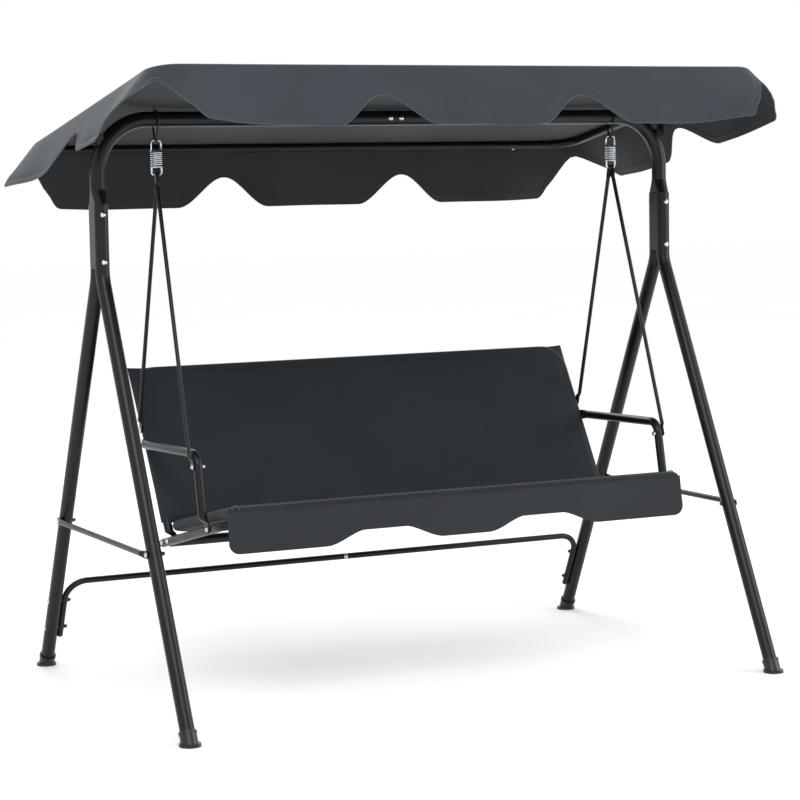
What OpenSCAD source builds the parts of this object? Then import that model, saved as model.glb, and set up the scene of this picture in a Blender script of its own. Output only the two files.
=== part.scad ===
// Three seat garden glider swing with a tilting canopy, hung on two coil springs.
// X is the width, -Y is the front, +Z is up, and the feet stand on z = 0.

/* [Stand] */
// Distance from the middle to the plane of each leg pair
leg_x = 792; // [740:1:850]
// Outer diameter of a leg tube
leg_d = 35; // [30:0.5:42]
// Wall of a leg tube
leg_wall = 1.2; // [1:0.1:2]
// Height of the top of the legs
leg_top = 1216; // [1150:1:1260]
// Height where a leg turns outward
leg_corner_z = 1040; // [980:1:1060]
// Distance of each foot from the middle, front to back
foot_y = 527; // [460:1:600]
// Centre line radius of the turn in a leg
leg_bend = 90; // [80:1:110]
// Gap between the front and rear leg where they meet
seam_gap = 0.3; // [0.2:0.1:1]
// Diameter of the flat disc under each foot
foot_d = 51; // [48:1:60]
// Length of the foot sleeve along the leg
foot_sleeve = 34; // [28:1:60]
// Thickness of the foot under the leg
foot_floor = 4; // [3:0.5:6]

/* [Beam] */
// Outer diameter of the beam tube
beam_d = 38; // [34:0.5:44]
// Wall of the beam tube
beam_wall = 1.2; // [1:0.1:2]
// Height of the middle of the beam
beam_z = 1419; // [1400:1:1440]
// Centre line radius of the beam's end bends
beam_bend = 130; // [110:1:140]
// Length of the sleeve inside the beam joint
sleeve_len = 160; // [120:1:200]
// Height over the legs where the beam is round again
flare_h = 36; // [28:1:36]
// Height of the lower bolt through the leg tops
leg_bolt_low = 1078; // [1076:1:1090]
// Height of the upper bolt through the leg tops
leg_bolt_high = 1192; // [1180:1:1200]

/* [Ties] */
// Diameter of a side tie
tie_d = 14; // [12:0.5:18]
// Height of the side ties
tie_z = 410; // [350:1:480]
// Diameter of the rear stretcher
stretcher_d = 16; // [14:0.5:19]
// Height of the rear stretcher
stretcher_z = 236; // [215:1:300]
// Centre line radius of its corners
stretcher_bend = 55; // [40:1:60]
// Heights of the two bolts in each stretcher end
stretcher_bolt_z = [109, 185];
// Distance of the stretcher's middle bolt from the middle
stretcher_lap_x = 30; // [26:1:60]

/* [Spring hanger] */
// Distance from the middle to each spring
hang_x = 641; // [600:1:650]
// Wire of the ring over the beam
ring_wire = 5; // [4:0.1:6]
// Wire of the spring
spring_wire = 4.5; // [4:0.1:5]
// Mean radius of the coil
coil_r = 12.75; // [11:0.05:15]
// Number of turns in the coil
coil_turns = 7; // [5:1:9]
// Height of the axis that the spring swings on
swing_z = 1368; // [1364:1:1370]
// Drop from that axis to the axis that the seat rocks on
spring_drop = 82.25; // [76:0.25:90]
// Radial clearance of the hanger eyes on the hook
eye_fit = 0.08; // [0.05:0.01:0.1]
// Diameter of a hanger rod
rod_d = 10; // [8:0.5:11]

/* [Seat] */
// Distance from the middle to the side tubes of the seat
side_x = 620; // [590:1:625]
// Diameter of the seat, back and arm tubes
seat_d = 22; // [19:0.5:23]
// Wall of those tubes
seat_wall = 1.2; // [1:0.1:2]
// Height of the top of the seat at its rear edge
seat_z = 430; // [420:1:440]
// Depth of the seat pad along its slope
seat_len = 417; // [380:1:430]
// Slope of the seat, front up
seat_tilt = 11.5; // [8:0.5:14]
// Thickness of the seat pad
pad_t = 33; // [25:1:36]
// Half width of the seat pad
pad_x = 622; // [600:1:624]
// Diameter of the tube under the rear of the seat
cross_d = 25; // [22:0.5:28]
// Lean of the back from upright
back_lean = 31; // [27:0.5:33]
// Length of the back along its lean
back_len = 428; // [380:1:440]
// Thickness of the back pad
back_t = 20; // [16:1:22]
// Length of the front valance of the seat
skirt_len = 99; // [80:1:110]

/* [Armrests] */
// Distance from the middle to each armrest
arm_x = 641; // [640:1:650]
// Height of the front corner of an armrest
arm_top = 623; // [610:1:640]
// Distance of that corner in front of the middle
arm_front = 222; // [200:1:235]
// Centre line radius of that corner
arm_bend = 34; // [30:1:40]
// Height where the armrest meets the back
arm_rear_z = 613; // [600:1:625]
// Height where the rear hanger meets the back
rear_hang_z = 646; // [642:1:670]

/* [Canopy] */
// Slope of the canopy at rest, front up
canopy_tilt = 10.2; // [5:0.1:15]
// Distance from the middle to each canopy arm
roof_x = 785; // [780:1:790]
// Diameter of the canopy tubes
roof_d = 22; // [19:0.5:22]
// Reach of the canopy in front of its pivot
roof_front = 442; // [400:1:450]
// Reach of the canopy behind its pivot
roof_rear = 483; // [430:1:490]
// Centre line radius of the canopy corners
roof_bend = 80; // [60:1:90]
// Height of the canopy's pivot
pivot_z = 1438.5; // [1434:0.5:1450]
// Length of the canopy valances
lobe_len = 155; // [120:1:165]
// Outward slope of the side valances
flare_side = 20; // [12:1:22]
// Outward slope of the front and rear valances
flare_end = 27; // [15:1:28]

/* [Clearances] */
// Gap between pieces that seat on each other
seat_gap = 0.3; // [0.1:0.05:0.5]
// Radial clearance of a bolt in its hole
hole_fit = 0.2; // [0.1:0.05:0.5]
// Radial clearance of the canopy pivot
pivot_fit = 0.08; // [0.05:0.01:0.1]
// Thickness of the cloth pieces
cloth_t = 3; // [2:0.5:4]

/* [Hidden] */
$fn = 48;

tube_colour = "#23282d";
cloth_colour = "#4a535b";
zinc_colour = "#c9ccd0";
plastic_colour = "#101113";

// Stand
leg_r = leg_d / 2;
leg_off = leg_r + seam_gap / 2;
splay_slope = (foot_y - leg_off) / leg_corner_z;
splay = atan(splay_slope);
channel_z = ceil(leg_corner_z + leg_bend * tan(splay / 2) + 1);
function leg_y(z) = leg_off + (leg_corner_z - z) * splay_slope;
leg_below = 20;
foot_wall = 2.5;
foot_collar = 1.2;
foot_base = 7;

// Fasteners
bolt_d = 8;
small_d = 6;
bolt_head_h = 4.5;
bolt_head_r = 7;
small_head_h = 4;
small_head_r = 6;
nut_h = 6.5;
small_nut_h = 5;

// Beam
beam_r = beam_d / 2;
insert_r = leg_r - leg_wall - seat_gap;
insert_wall = 2;
shell_lap = 0.25;
insert_z = channel_z + 4;
flare_z = leg_top + flare_h;
lap_bolt_x = 15;
sleeve_r = beam_r - beam_wall - hole_fit;
sleeve_wall = 1.5;
half_gap = 0.15;
weld = 0.8;
weld_rise = 0.12;

// Side ties and stretcher
flat_t = 3;
taper_step = 0.3;
tie_in = leg_x + leg_r + seat_gap;
tie_x = tie_in + flat_t + 0.5;
tie_flat_w = 9;
tie_reach = 16;
tie_taper = 12;
stretcher_r = stretcher_d / 2;
stretcher_wall = 1.2;
stub_x = leg_x - leg_r - stretcher_r - seat_gap;
stub_end_z = stretcher_bolt_z[0] - 25;
swage_len = 40;

// Spring hanger
rock_z = swing_z - spring_drop;
ring_bend = 7;
ring_low_z = swing_z - (spring_wire + ring_wire) / 2 - 0.25 + ring_bend;
ring_over_r = beam_r + seat_gap + ring_wire / 2;
hook_rise = 21;
coil_top = swing_z - hook_rise;
coil_low = rock_z + 18.75;
hook_bend = 6;
wire_sides = 8;
coil_steps = 16;
ring_split = 0.5;
coil_entry = 5;
eye_t = 4.8;
eye_r = 7.5;
eye_shift = 2.7;

// Seat: a point measured forward along the seat and square to it
function seat_at(a, n) = [
    back_y - a * cos(seat_tilt) + n * sin(seat_tilt),
    seat_z + a * sin(seat_tilt) + n * cos(seat_tilt)
];
back_y = 55;
seat_r = seat_d / 2;
cross_r = cross_d / 2;
front_tube = seat_at(seat_len - 20, -pad_t - seat_gap - seat_r);
cross_tube = seat_at(-17, -pad_t - 21);
rail = unit(front_tube - cross_tube);
rail_tail = 18;
rail_bend = 50;
pad_rear = 19;
pad_round = 10;
skirt_lean = 8;

// Back: a point measured up along the back and square to it, front positive
back_dir = [sin(back_lean), cos(back_lean)];
back_front = [-cos(back_lean), sin(back_lean)];
back_foot = [back_y - 5, seat_z];
function back_at(s, n) = back_foot + back_dir * s + back_front * n;
function back_s(z) = (z - seat_z) / cos(back_lean);
sheath = 2.2;
back_top_s = back_len - seat_r - sheath;
back_bend = 60;
back_pin = meet(back_foot, back_dir, cross_tube, rail);
pad_front_n = seat_r + sheath;

// Armrest
arm_flat_w = 12;
arm_reach = 14;
arm_taper = 14;
arm_rear = back_at(back_s(arm_rear_z), 0);
arm_corner = [-arm_front, arm_top];
arm_drop = unit([-sin(seat_tilt), -cos(seat_tilt)]);
arm_foot = meet(arm_corner, arm_drop, cross_tube, rail);
arm_turn = acos(unit(arm_corner - arm_rear) * arm_drop);
front_hang = arm_corner + arm_drop * (arm_bend * tan(arm_turn / 2) + 1);
rear_hang = back_at(back_s(rear_hang_z), 0);
back_flat_x = side_x + seat_r + sheath + 2 * seat_gap;
rail_flat_x = side_x + seat_r + seat_gap;
arm_flat_out = arm_x + seat_r + seat_gap;
hang_flat_w = 8;
hang_reach = 16;
hang_taper = 8;
hang_out = rod_d / 2 + 1;

// Canopy
roof_r = roof_d / 2;
roof_wall = 1.2;
roof_joint_x = 620;
swage_r = roof_r - roof_wall - seat_gap;
swage_reach = 30;
cloth_z = roof_r + seat_gap;
plate_in = roof_x + roof_r + seat_gap;
plate_t = 3.5;
plate_w = 30;
plate_eye_r = cloth_z - 2 * seat_gap;
plate_neck = 20;
pivot_head_h = 3.3;
cloth_x = plate_in + plate_t + pivot_head_h + 2 * seat_gap;
cloth_front = roof_front + roof_r + seat_gap;
cloth_rear = roof_rear + roof_r + seat_gap;
saddle_z = beam_z - 47;
saddle_h = 28;
notch_top_r = 35;
notch_base = 115;
notch_depth = 80;
corner_seam = 55;
corner_cut = 60;

function unit(v) = v / norm(v);
function meet(p, d, q, e) = p + d * cross(q - p, e) / cross(d, e);
function yz(x, p) = [x, p[0], p[1]];
function turn_of(pts, i) = acos(unit(pts[i] - pts[i - 1]) * unit(pts[i + 1] - pts[i]));
function trim_of(pts, i, bend) = bend * tan(turn_of(pts, i) / 2);

// Frame with the given axes at a point
module place(x, y, z, o) {
    multmatrix([
        [x[0], y[0], z[0], o[0]],
        [x[1], y[1], z[1], o[1]],
        [x[2], y[2], z[2], o[2]],
        [0, 0, 0, 1]
    ]) children();
}

// Frame whose Z runs along a direction
module along(o, d) {
    z = unit(d);
    x = unit(cross(abs(z[0]) < 0.9 ? [1, 0, 0] : [0, 1, 0], z));
    place(x, cross(z, x), z, o) children();
}

// Frame in a side plane: local X runs along a front to back direction, local Z is the width
module side_plane(p, d) {
    u = unit(d);
    place([0, u[0], u[1]], [0, -u[1], u[0]], [1, 0, 0], [0, p[0], p[1]]) children();
}

module rod(a, b, r) {
    along(a, b - a) cylinder(h = norm(b - a), r = r);
}

// Round bar through points in one plane, with every inner corner turned to the bend radius
module bent_rod(pts, bend, r, over = 0) {
    if (len(pts) == 2) {
        d = unit(pts[1] - pts[0]);
        rod(pts[0] - d * over, pts[1] + d * over, r);
    } else {
        x = unit(pts[1] - pts[0]);
        z = unit(cross(x, pts[2] - pts[1]));
        y = cross(z, x);
        place(x, y, z, pts[1])
            flat_rod([for (p = pts) [(p - pts[1]) * x, (p - pts[1]) * y]], bend, r, over);
    }
}

// The same bar drawn in the XY plane; a thin weld closes the seams of a turn that isn't square
module flat_rod(pts, bend, r, over) {
    last = len(pts) - 1;
    for (i = [0 : last - 1]) {
        d = pts[i + 1] - pts[i];
        a = i == 0 ? -over : trim_of(pts, i, bend);
        b = i == last - 1 ? -over : trim_of(pts, i + 1, bend);
        translate(pts[i]) rotate([0, 0, atan2(d[1], d[0])]) translate([a, 0, 0])
            rotate([0, 90, 0]) cylinder(h = norm(d) - a - b, r = r);
    }
    for (i = [1 : 1 : last - 1]) {
        d = pts[i] - pts[i - 1];
        heading = atan2(d[1], d[0]);
        side = cross(d, pts[i + 1] - pts[i]) > 0 ? 1 : -1;
        turn = turn_of(pts, i);
        translate(pts[i]) rotate([0, 0, heading])
            translate([-trim_of(pts, i, bend), side * bend, 0])
            rotate([0, 0, side > 0 ? -90 : 90 - turn]) {
                rotate_extrude(angle = turn) translate([bend, 0]) circle(r);
                if (abs(turn - 90) > 0.01)
                    for (a = [0, turn]) rotate([0, 0, a]) translate([bend, 0, 0])
                        rotate([90, 0, 0]) translate([0, 0, -weld]) cylinder(h = 2 * weld, r = r + weld_rise);
            }
    }
}

module bent_tube(pts, bend, r, wall) {
    difference() {
        bent_rod(pts, bend, r);
        bent_rod(pts, bend, r - wall, 1);
    }
}

module left() mirror([1, 0, 0]) children();

module both() {
    children();
    left() children();
}

// Bores and bolts along the width or from front to back
module bore_x(x0, x1, p, d) rod(yz(x0, p), yz(x1, p), d / 2 + hole_fit);
module bore_y(x, z, reach, d) rod([x, -reach, z], [x, reach, z], d / 2 + hole_fit);

// Bolt whose head stands on z = 0 and whose shank runs down
module bolt(length, d, head_r, head_h) {
    ball = (head_r * head_r + head_h * head_h) / (2 * head_h);
    intersection() {
        translate([0, 0, head_h - ball]) sphere(ball);
        cylinder(h = head_h, r = head_r);
    }
    translate([0, 0, -length]) cylinder(h = length + 0.01, r = d / 2);
}

module bolt_x(x, p, length, d = small_d, head_r = small_head_r, head_h = small_head_h)
    along(yz(x, p), [1, 0, 0]) bolt(length, d, head_r, head_h);

module bolt_y(x, y, z, length)
    along([x, y, z], [0, -1, 0]) bolt(length, bolt_d, bolt_head_r, bolt_head_h);

module hex_nut(d, h) {
    difference() {
        cylinder(h = h, r = d * 0.92, $fn = 6);
        translate([0, 0, -1]) cylinder(h = h + 2, r = d / 2 + 0.02);
    }
}

module cap_nut(d) {
    difference() {
        union() {
            cylinder(h = 3.5, r = d * 0.92, $fn = 6);
            translate([0, 0, 3]) cylinder(h = 2, r = d * 0.72);
            translate([0, 0, 5]) intersection() {
                sphere(d * 0.72);
                cylinder(h = d, r = d);
            }
        }
        translate([0, 0, -1]) cylinder(h = 6.2, r = d / 2 + 0.02);
    }
}

// Flattened tube end: a round ended plate, then a taper to the round tube
module flat_end(p, d, x_in, thick, half_w, x_tube, r_tube, reach, taper) {
    side_plane(p, d) {
        translate([0, 0, x_in]) cylinder(h = thick, r = half_w);
        translate([0, -half_w, x_in]) cube([reach, 2 * half_w, thick]);
        hull() {
            translate([reach - 0.1, -half_w, x_in]) cube([0.1, 2 * half_w, thick]);
            translate([reach + taper, 0, x_tube]) rotate([0, 90, 0])
                cylinder(h = 0.1, r = r_tube - taper_step, $fn = 32);
        }
    }
}

// ---- Stand ----

// Half round shell that is open to one side, with two flat cheeks that reach inward
module channel(side, r, wall, height, cheek) {
    rotate([0, 0, side > 0 ? 0 : 180]) translate([0, leg_off, 0]) {
        rotate_extrude(angle = 180) translate([r - wall, 0]) square([wall, height]);
        for (x = [-r, r - wall]) translate([x, -cheek, 0]) cube([wall, cheek, height]);
    }
}

function leg_path(side) = [
    [leg_x, side * leg_off, channel_z],
    [leg_x, side * leg_off, leg_corner_z],
    [leg_x, side * leg_y(-leg_below), -leg_below]
];

module leg(side) {
    color(tube_colour) difference() {
        union() {
            bent_tube(leg_path(side), leg_bend, leg_r, leg_wall);
            translate([leg_x, 0, channel_z])
                channel(side, leg_r, leg_wall, leg_top - channel_z, leg_off - seam_gap / 2);
        }
        translate([leg_x - 50, side * foot_y - 100, foot_floor + hole_fit - 60])
            cube([100, 200, 60]);
        for (z = [leg_bolt_low, leg_bolt_high])
            bore_y(leg_x, z, leg_off + leg_r + 1, bolt_d);
        bore_x(leg_x - 30, leg_x + 30, [side * leg_y(tie_z), tie_z], small_d);
        if (side > 0)
            for (z = stretcher_bolt_z) bore_x(leg_x - 30, leg_x + 30, [leg_y(z), z], small_d);
    }
}

module foot(side) {
    up = unit([0, -side * splay_slope, 1]);
    base = [leg_x, side * foot_y, 0];
    sleeve_r_out = leg_r + hole_fit + foot_wall;
    color(plastic_colour) difference() {
        union() {
            translate(base) cylinder(h = foot_base, r = foot_d / 2);
            rod(base - up * 20, base + up * foot_sleeve, sleeve_r_out);
            rod(base + up * (foot_sleeve - 6), base + up * foot_sleeve, sleeve_r_out + foot_collar);
        }
        difference() {
            rod(base - up * 40, base + up * (foot_sleeve + 5), leg_r + hole_fit);
            translate([leg_x - 60, side * foot_y - 60, foot_floor - 60]) cube([120, 120, 60]);
        }
        translate([leg_x - 60, side * foot_y - 60, -60]) cube([120, 120, 60]);
    }
}

module front_leg_left() left() leg(-1);
module front_leg_right() leg(-1);
module rear_leg_left() left() leg(1);
module rear_leg_right() leg(1);
module foot_front_left() left() foot(-1);
module foot_front_right() foot(-1);
module foot_rear_left() left() foot(1);
module foot_rear_right() foot(1);

// ---- Beam ----

// Shell that widens from the round beam to the flat sided insert
module flare(inset, over) {
    low = insert_r - inset;
    high = beam_r - (inset == shell_lap ? inset : inset + beam_wall - insert_wall);
    hull() {
        for (y = [-leg_off, leg_off]) translate([leg_x, y, leg_top + 1 - over])
            cylinder(h = 0.1, r = low, $fn = 32);
        translate([leg_x, 0, flare_z + over]) cylinder(h = 0.1, r = high, $fn = 32);
    }
}

module beam_half() {
    path = [[half_gap, 0, beam_z], [leg_x, 0, beam_z], [leg_x, 0, flare_z]];
    color(tube_colour) difference() {
        union() {
            bent_tube(path, beam_bend, beam_r, beam_wall);
            difference() {
                flare(shell_lap, 1);
                flare(insert_wall - shell_lap, 1.05);
            }
            for (side = [-1, 1]) translate([leg_x, 0, insert_z])
                channel(side, insert_r, insert_wall, leg_top + 2 - insert_z, leg_off);
        }
        bore_y(lap_bolt_x, beam_z, beam_r + 1, bolt_d);
        for (z = [leg_bolt_low, leg_bolt_high]) bore_y(leg_x, z, leg_off + leg_r, bolt_d);
        bore_x(leg_x - 22, plate_in + 5, [0, saddle_z], bolt_d);
    }
}

module beam_left() left() beam_half();
module beam_right() beam_half();

module beam_sleeve() {
    color(zinc_colour) difference() {
        rod([-sleeve_len / 2, 0, beam_z], [sleeve_len / 2, 0, beam_z], sleeve_r);
        rod([-sleeve_len, 0, beam_z], [sleeve_len, 0, beam_z], sleeve_r - sleeve_wall);
        for (x = [-lap_bolt_x, lap_bolt_x]) bore_y(x, beam_z, beam_r, bolt_d);
    }
}

// ---- Ties and stretcher ----

module side_tie() {
    color(tube_colour) difference() {
        union() {
            y = leg_y(tie_z);
            ends = y - tie_reach - tie_taper;
            bent_tube([[tie_x, -ends, tie_z], [tie_x, ends, tie_z]], 1, tie_d / 2, 1.2);
            for (s = [-1, 1])
                flat_end([s * y, tie_z], [-s, 0], tie_in, flat_t, tie_flat_w,
                    tie_x, tie_d / 2, tie_reach, tie_taper);
        }
        for (s = [-1, 1])
            bore_x(tie_in - 5, tie_in + 20, [s * leg_y(tie_z), tie_z], small_d);
    }
}

module side_tie_left() left() side_tie();
module side_tie_right() side_tie();

function stretcher_path(x) = [
    [stub_x, leg_y(stub_end_z), stub_end_z],
    [stub_x, leg_y(stretcher_z), stretcher_z],
    [x, leg_y(stretcher_z), stretcher_z]
];

module stretcher_holes() {
    for (z = stretcher_bolt_z) bore_x(stub_x - 15, stub_x + 15, [leg_y(z), z], small_d);
}

// The right half is swaged down and slides into the left half
module stretcher_right() {
    lap = stretcher_lap_x + swage_len / 2;
    inner_r = stretcher_r - stretcher_wall - hole_fit;
    y = leg_y(stretcher_z);
    color(tube_colour) difference() {
        union() {
            bent_rod(stretcher_path(lap + half_gap), stretcher_bend, stretcher_r);
            rod([lap + 1, y, stretcher_z], [lap - swage_len, y, stretcher_z], inner_r);
        }
        bent_rod(stretcher_path(lap + 3), stretcher_bend, stretcher_r - stretcher_wall, 1);
        rod([lap + 5, y, stretcher_z], [lap - 50, y, stretcher_z], inner_r - stretcher_wall);
        stretcher_holes();
        rod([stretcher_lap_x, y - 20, stretcher_z], [stretcher_lap_x, y + 20, stretcher_z],
            small_d / 2 + hole_fit);
    }
}

module stretcher_left() {
    lap = stretcher_lap_x + swage_len / 2;
    y = leg_y(stretcher_z);
    color(tube_colour) difference() {
        left() bent_tube(stretcher_path(-lap), stretcher_bend, stretcher_r, stretcher_wall);
        left() stretcher_holes();
        rod([stretcher_lap_x, y - 20, stretcher_z], [stretcher_lap_x, y + 20, stretcher_z],
            small_d / 2 + hole_fit);
    }
}

// ---- Canopy brackets ----

module bracket_plate() {
    r = plate_w / 2 - 1;
    color(tube_colour) difference() {
        union() {
            bore_plate(saddle_z, r);
            bore_plate(pivot_z, plate_eye_r);
            translate([plate_in, -r, saddle_z])
                cube([plate_t, 2 * r, pivot_z - plate_neck - saddle_z]);
            hull() {
                translate([plate_in, -r, pivot_z - plate_neck - 0.1]) cube([plate_t, 2 * r, 0.1]);
                translate([plate_in, -plate_eye_r, pivot_z]) cube([plate_t, 2 * plate_eye_r, 0.1]);
            }
        }
        bore_x(plate_in - 5, plate_in + 10, [0, saddle_z], bolt_d);
        bore_x(plate_in - 5, plate_in + 10, [0, pivot_z], bolt_d);
    }
}

module bore_plate(z, r) rod([plate_in, 0, z], [plate_in + plate_t, 0, z], r);

module bracket_saddle() {
    color(plastic_colour) difference() {
        translate([plate_in - 18, -13, saddle_z - saddle_h / 2])
            cube([18 - seat_gap, 26, saddle_h]);
        bent_rod([[leg_x - 200, 0, beam_z], [leg_x, 0, beam_z], [leg_x, 0, flare_z]],
            beam_bend, beam_r + hole_fit);
        translate([leg_x - beam_bend - 60, -50, beam_z - beam_bend - 200])
            cube([60 + beam_bend + 10, 100, 260]);
        bore_x(plate_in - 30, plate_in + 5, [0, saddle_z], bolt_d);
    }
}

module canopy_bracket_left() left() bracket_plate();
module canopy_bracket_right() bracket_plate();
module bracket_saddle_left() left() bracket_saddle();
module bracket_saddle_right() bracket_saddle();

// ---- Spring rings: pear shaped wire over the beam ----

// Points along an arc in the plane of two axes
function arc(centre, bend, a0, a1, u, v, steps) = [
    for (i = [0 : steps]) let (a = a0 + (a1 - a0) * i / steps)
        centre + bend * (cos(a) * u + sin(a) * v)
];

// Directions square to a path, carried along it without twist
function carry(n, t) = unit(n - t * (n * t));
function headings(pts) = [
    for (i = [0 : len(pts) - 1])
        unit(pts[min(i + 1, len(pts) - 1)] - pts[max(i - 1, 0)])
];
function normals(t, n0) = [
    for (i = 0, n = carry(n0, t[0]); i < len(t); i = i + 1, n = i < len(t) ? carry(n, t[i]) : n) n
];

// Round wire swept along points as one closed skin
module wire(pts, r, n0) {
    t = headings(pts);
    n = normals(t, n0);
    last = len(pts) - 1;
    skin = [for (i = [0 : last], j = [0 : wire_sides - 1])
        let (b = 360 * j / wire_sides)
        pts[i] + r * (cos(b) * n[i] + sin(b) * cross(t[i], n[i]))];
    walls = [for (i = [0 : last - 1], j = [0 : wire_sides - 1])
        let (k = (j + 1) % wire_sides, a = i * wire_sides, b = a + wire_sides)
        [a + j, b + j, b + k, a + k]];
    caps = [[for (j = [0 : wire_sides - 1]) j],
        [for (j = [wire_sides - 1 : -1 : 0]) last * wire_sides + j]];
    polyhedron(points = skin, faces = concat(caps, walls), convexity = 10);
}

// Pear shaped wire over the beam, its ends meeting on top
module spring_ring() {
    y = [0, 1, 0];
    z = [0, 0, 1];
    lean = -asin((ring_over_r - ring_bend) / (beam_z - ring_low_z));
    high = [hang_x, 0, beam_z];
    low = [hang_x, 0, ring_low_z];
    pts = concat(
        arc(high, ring_over_r, 90 - ring_split, lean, y, z, 8),
        arc(low, ring_bend, lean, -180 - lean, y, z, 16),
        arc(high, ring_over_r, 180 - lean, 90 + ring_split, y, z, 8)
    );
    color(zinc_colour) wire(pts, ring_wire / 2, [1, 0, 0]);
}

module spring_ring_left() left() spring_ring();
module spring_ring_right() spring_ring();

// ---- Fasteners of the stand ----

module leg_bolts() {
    y = leg_off + leg_r + 0.1;
    color(zinc_colour) both() for (z = [leg_bolt_low, leg_bolt_high])
        bolt_y(leg_x, -y, z, 2 * y + nut_h + 1);
}

module beam_bolts() {
    y = beam_r + 0.1;
    color(zinc_colour) for (x = [-lap_bolt_x, lap_bolt_x])
        bolt_y(x, -y, beam_z, 2 * y + nut_h + 1);
}

module tie_bolts() {
    x = tie_in + flat_t + 0.1;
    color(zinc_colour) both() for (s = [-1, 1])
        bolt_x(x, [s * leg_y(tie_z), tie_z], x - (leg_x - leg_r) + 4);
}

module stretcher_bolts() {
    x = leg_x + leg_r + 0.1;
    y = leg_y(stretcher_z);
    color(zinc_colour) {
        both() for (z = stretcher_bolt_z)
            bolt_x(x, [leg_y(z), z], x - (stub_x - stretcher_r) + 4);
        along([stretcher_lap_x, y - stretcher_r - 0.1, stretcher_z], [0, -1, 0])
            bolt(stretcher_d + 4, small_d, small_head_r, small_head_h);
    }
}

module bracket_bolts() {
    x = plate_in + plate_t + 0.1;
    color(zinc_colour) both()
        bolt_x(x, [0, saddle_z], 34, bolt_d, bolt_head_r, bolt_head_h);
}

module pivot_bolts() {
    x = plate_in + plate_t + 0.1;
    reach = x - (roof_x - roof_r) + seat_gap + nut_h + 1;
    color(zinc_colour) both() bolt_x(x, [0, pivot_z], reach, bolt_d, 8.5, pivot_head_h - 0.1);
}

module cap_nuts() {
    y = leg_y(stretcher_z);
    color(plastic_colour) {
        both() {
            for (s = [-1, 1])
                along([leg_x - leg_r - 0.1, s * leg_y(tie_z), tie_z], [-1, 0, 0]) cap_nut(small_d);
            for (z = stretcher_bolt_z)
                along([stub_x - stretcher_r - 0.1, leg_y(z), z], [-1, 0, 0]) cap_nut(small_d);
        }
        along([stretcher_lap_x, y + stretcher_r + 0.1, stretcher_z], [0, 1, 0]) cap_nut(small_d);
    }
}

module lock_nuts() {
    color(zinc_colour) {
        both() {
            for (z = [leg_bolt_low, leg_bolt_high])
                along([leg_x, leg_off + leg_r + 0.1, z], [0, 1, 0]) hex_nut(bolt_d, nut_h);
            along([roof_x - roof_r - seat_gap, 0, pivot_z], [-1, 0, 0]) hex_nut(bolt_d, nut_h);
        }
        for (x = [-lap_bolt_x, lap_bolt_x])
            along([x, beam_r + 0.1, beam_z], [0, 1, 0]) hex_nut(bolt_d, nut_h);
    }
}

// ---- Canopy, in its own frame about the pivot ----

module canopy() translate([0, 0, pivot_z]) rotate([-canopy_tilt, 0, 0]) children();

module canopy_arm() {
    path = [
        [roof_joint_x, -roof_front, 0], [roof_x, -roof_front, 0],
        [roof_x, roof_rear, 0], [roof_joint_x, roof_rear, 0]
    ];
    color(tube_colour) canopy() difference() {
        union() {
            bent_rod(path, roof_bend, roof_r);
            for (y = [-roof_front, roof_rear])
                rod([roof_joint_x + 1, y, 0], [roof_joint_x - swage_reach, y, 0], swage_r);
        }
        bent_rod(path, roof_bend, roof_r - roof_wall, -2);
        for (y = [-roof_front, roof_rear]) {
            rod([roof_joint_x + 4, y, 0], [roof_joint_x - 40, y, 0], swage_r - roof_wall);
            roof_screw_hole(y);
        }
        rod([roof_x - 20, 0, 0], [roof_x + 20, 0, 0], bolt_d / 2 + pivot_fit);
    }
}

module roof_screw_hole(y) {
    x = roof_joint_x - swage_reach / 2;
    rod([x, y, -roof_r - 1], [x, y, -2], 2.5 + hole_fit);
}

module canopy_cross(y) {
    x = roof_joint_x - half_gap;
    color(tube_colour) canopy() difference() {
        rod([-x, y, 0], [x, y, 0], roof_r);
        rod([-x - 1, y, 0], [x + 1, y, 0], roof_r - roof_wall);
        both() roof_screw_hole(y);
    }
}

module canopy_arm_left() left() canopy_arm();
module canopy_arm_right() canopy_arm();
module canopy_front_tube() canopy_cross(-roof_front);
module canopy_rear_tube() canopy_cross(roof_rear);

module canopy_screws() {
    x = roof_joint_x - swage_reach / 2;
    color(zinc_colour) canopy() both() for (y = [-roof_front, roof_rear])
        along([x, y, -roof_r - 0.1], [0, 0, -1]) bolt(8, 5, 5, 2.5);
}

module canopy_top() {
    color(cloth_colour) canopy()
        translate([-cloth_x - cloth_t, -cloth_front - cloth_t, cloth_z])
            cube([2 * (cloth_x + cloth_t), cloth_front + cloth_rear + 2 * cloth_t, cloth_t]);
}

// Scalloped strip: the top edge lies on y = 0, and each notch is centred at a given place
module lobed_strip(x0, x1, length, notches) {
    offset(r = 18) offset(delta = -18) difference() {
        translate([x0, -length]) square([x1 - x0, length]);
        for (c = notches) translate([c, -length]) {
            polygon([[-notch_base, -1], [notch_base, -1], [notch_top_r, notch_depth - notch_top_r],
                [-notch_top_r, notch_depth - notch_top_r]]);
            translate([0, notch_depth - notch_top_r]) circle(notch_top_r);
        }
        for (e = [[x0, 1], [x1, -1]])
            polygon([[e[0], -corner_seam], [e[0] - e[1], -length - 1],
                [e[0] + e[1] * corner_cut, -length - 1]]);
    }
}

module valance_side() {
    s = sin(flare_side);
    c = cos(flare_side);
    color(cloth_colour) canopy()
        place([0, 1, 0], [-s, 0, c], [c, 0, s], [cloth_x, 0, cloth_z - seat_gap - cloth_t * s])
            linear_extrude(cloth_t) lobed_strip(-cloth_front, cloth_rear, lobe_len, [0]);
}

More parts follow.
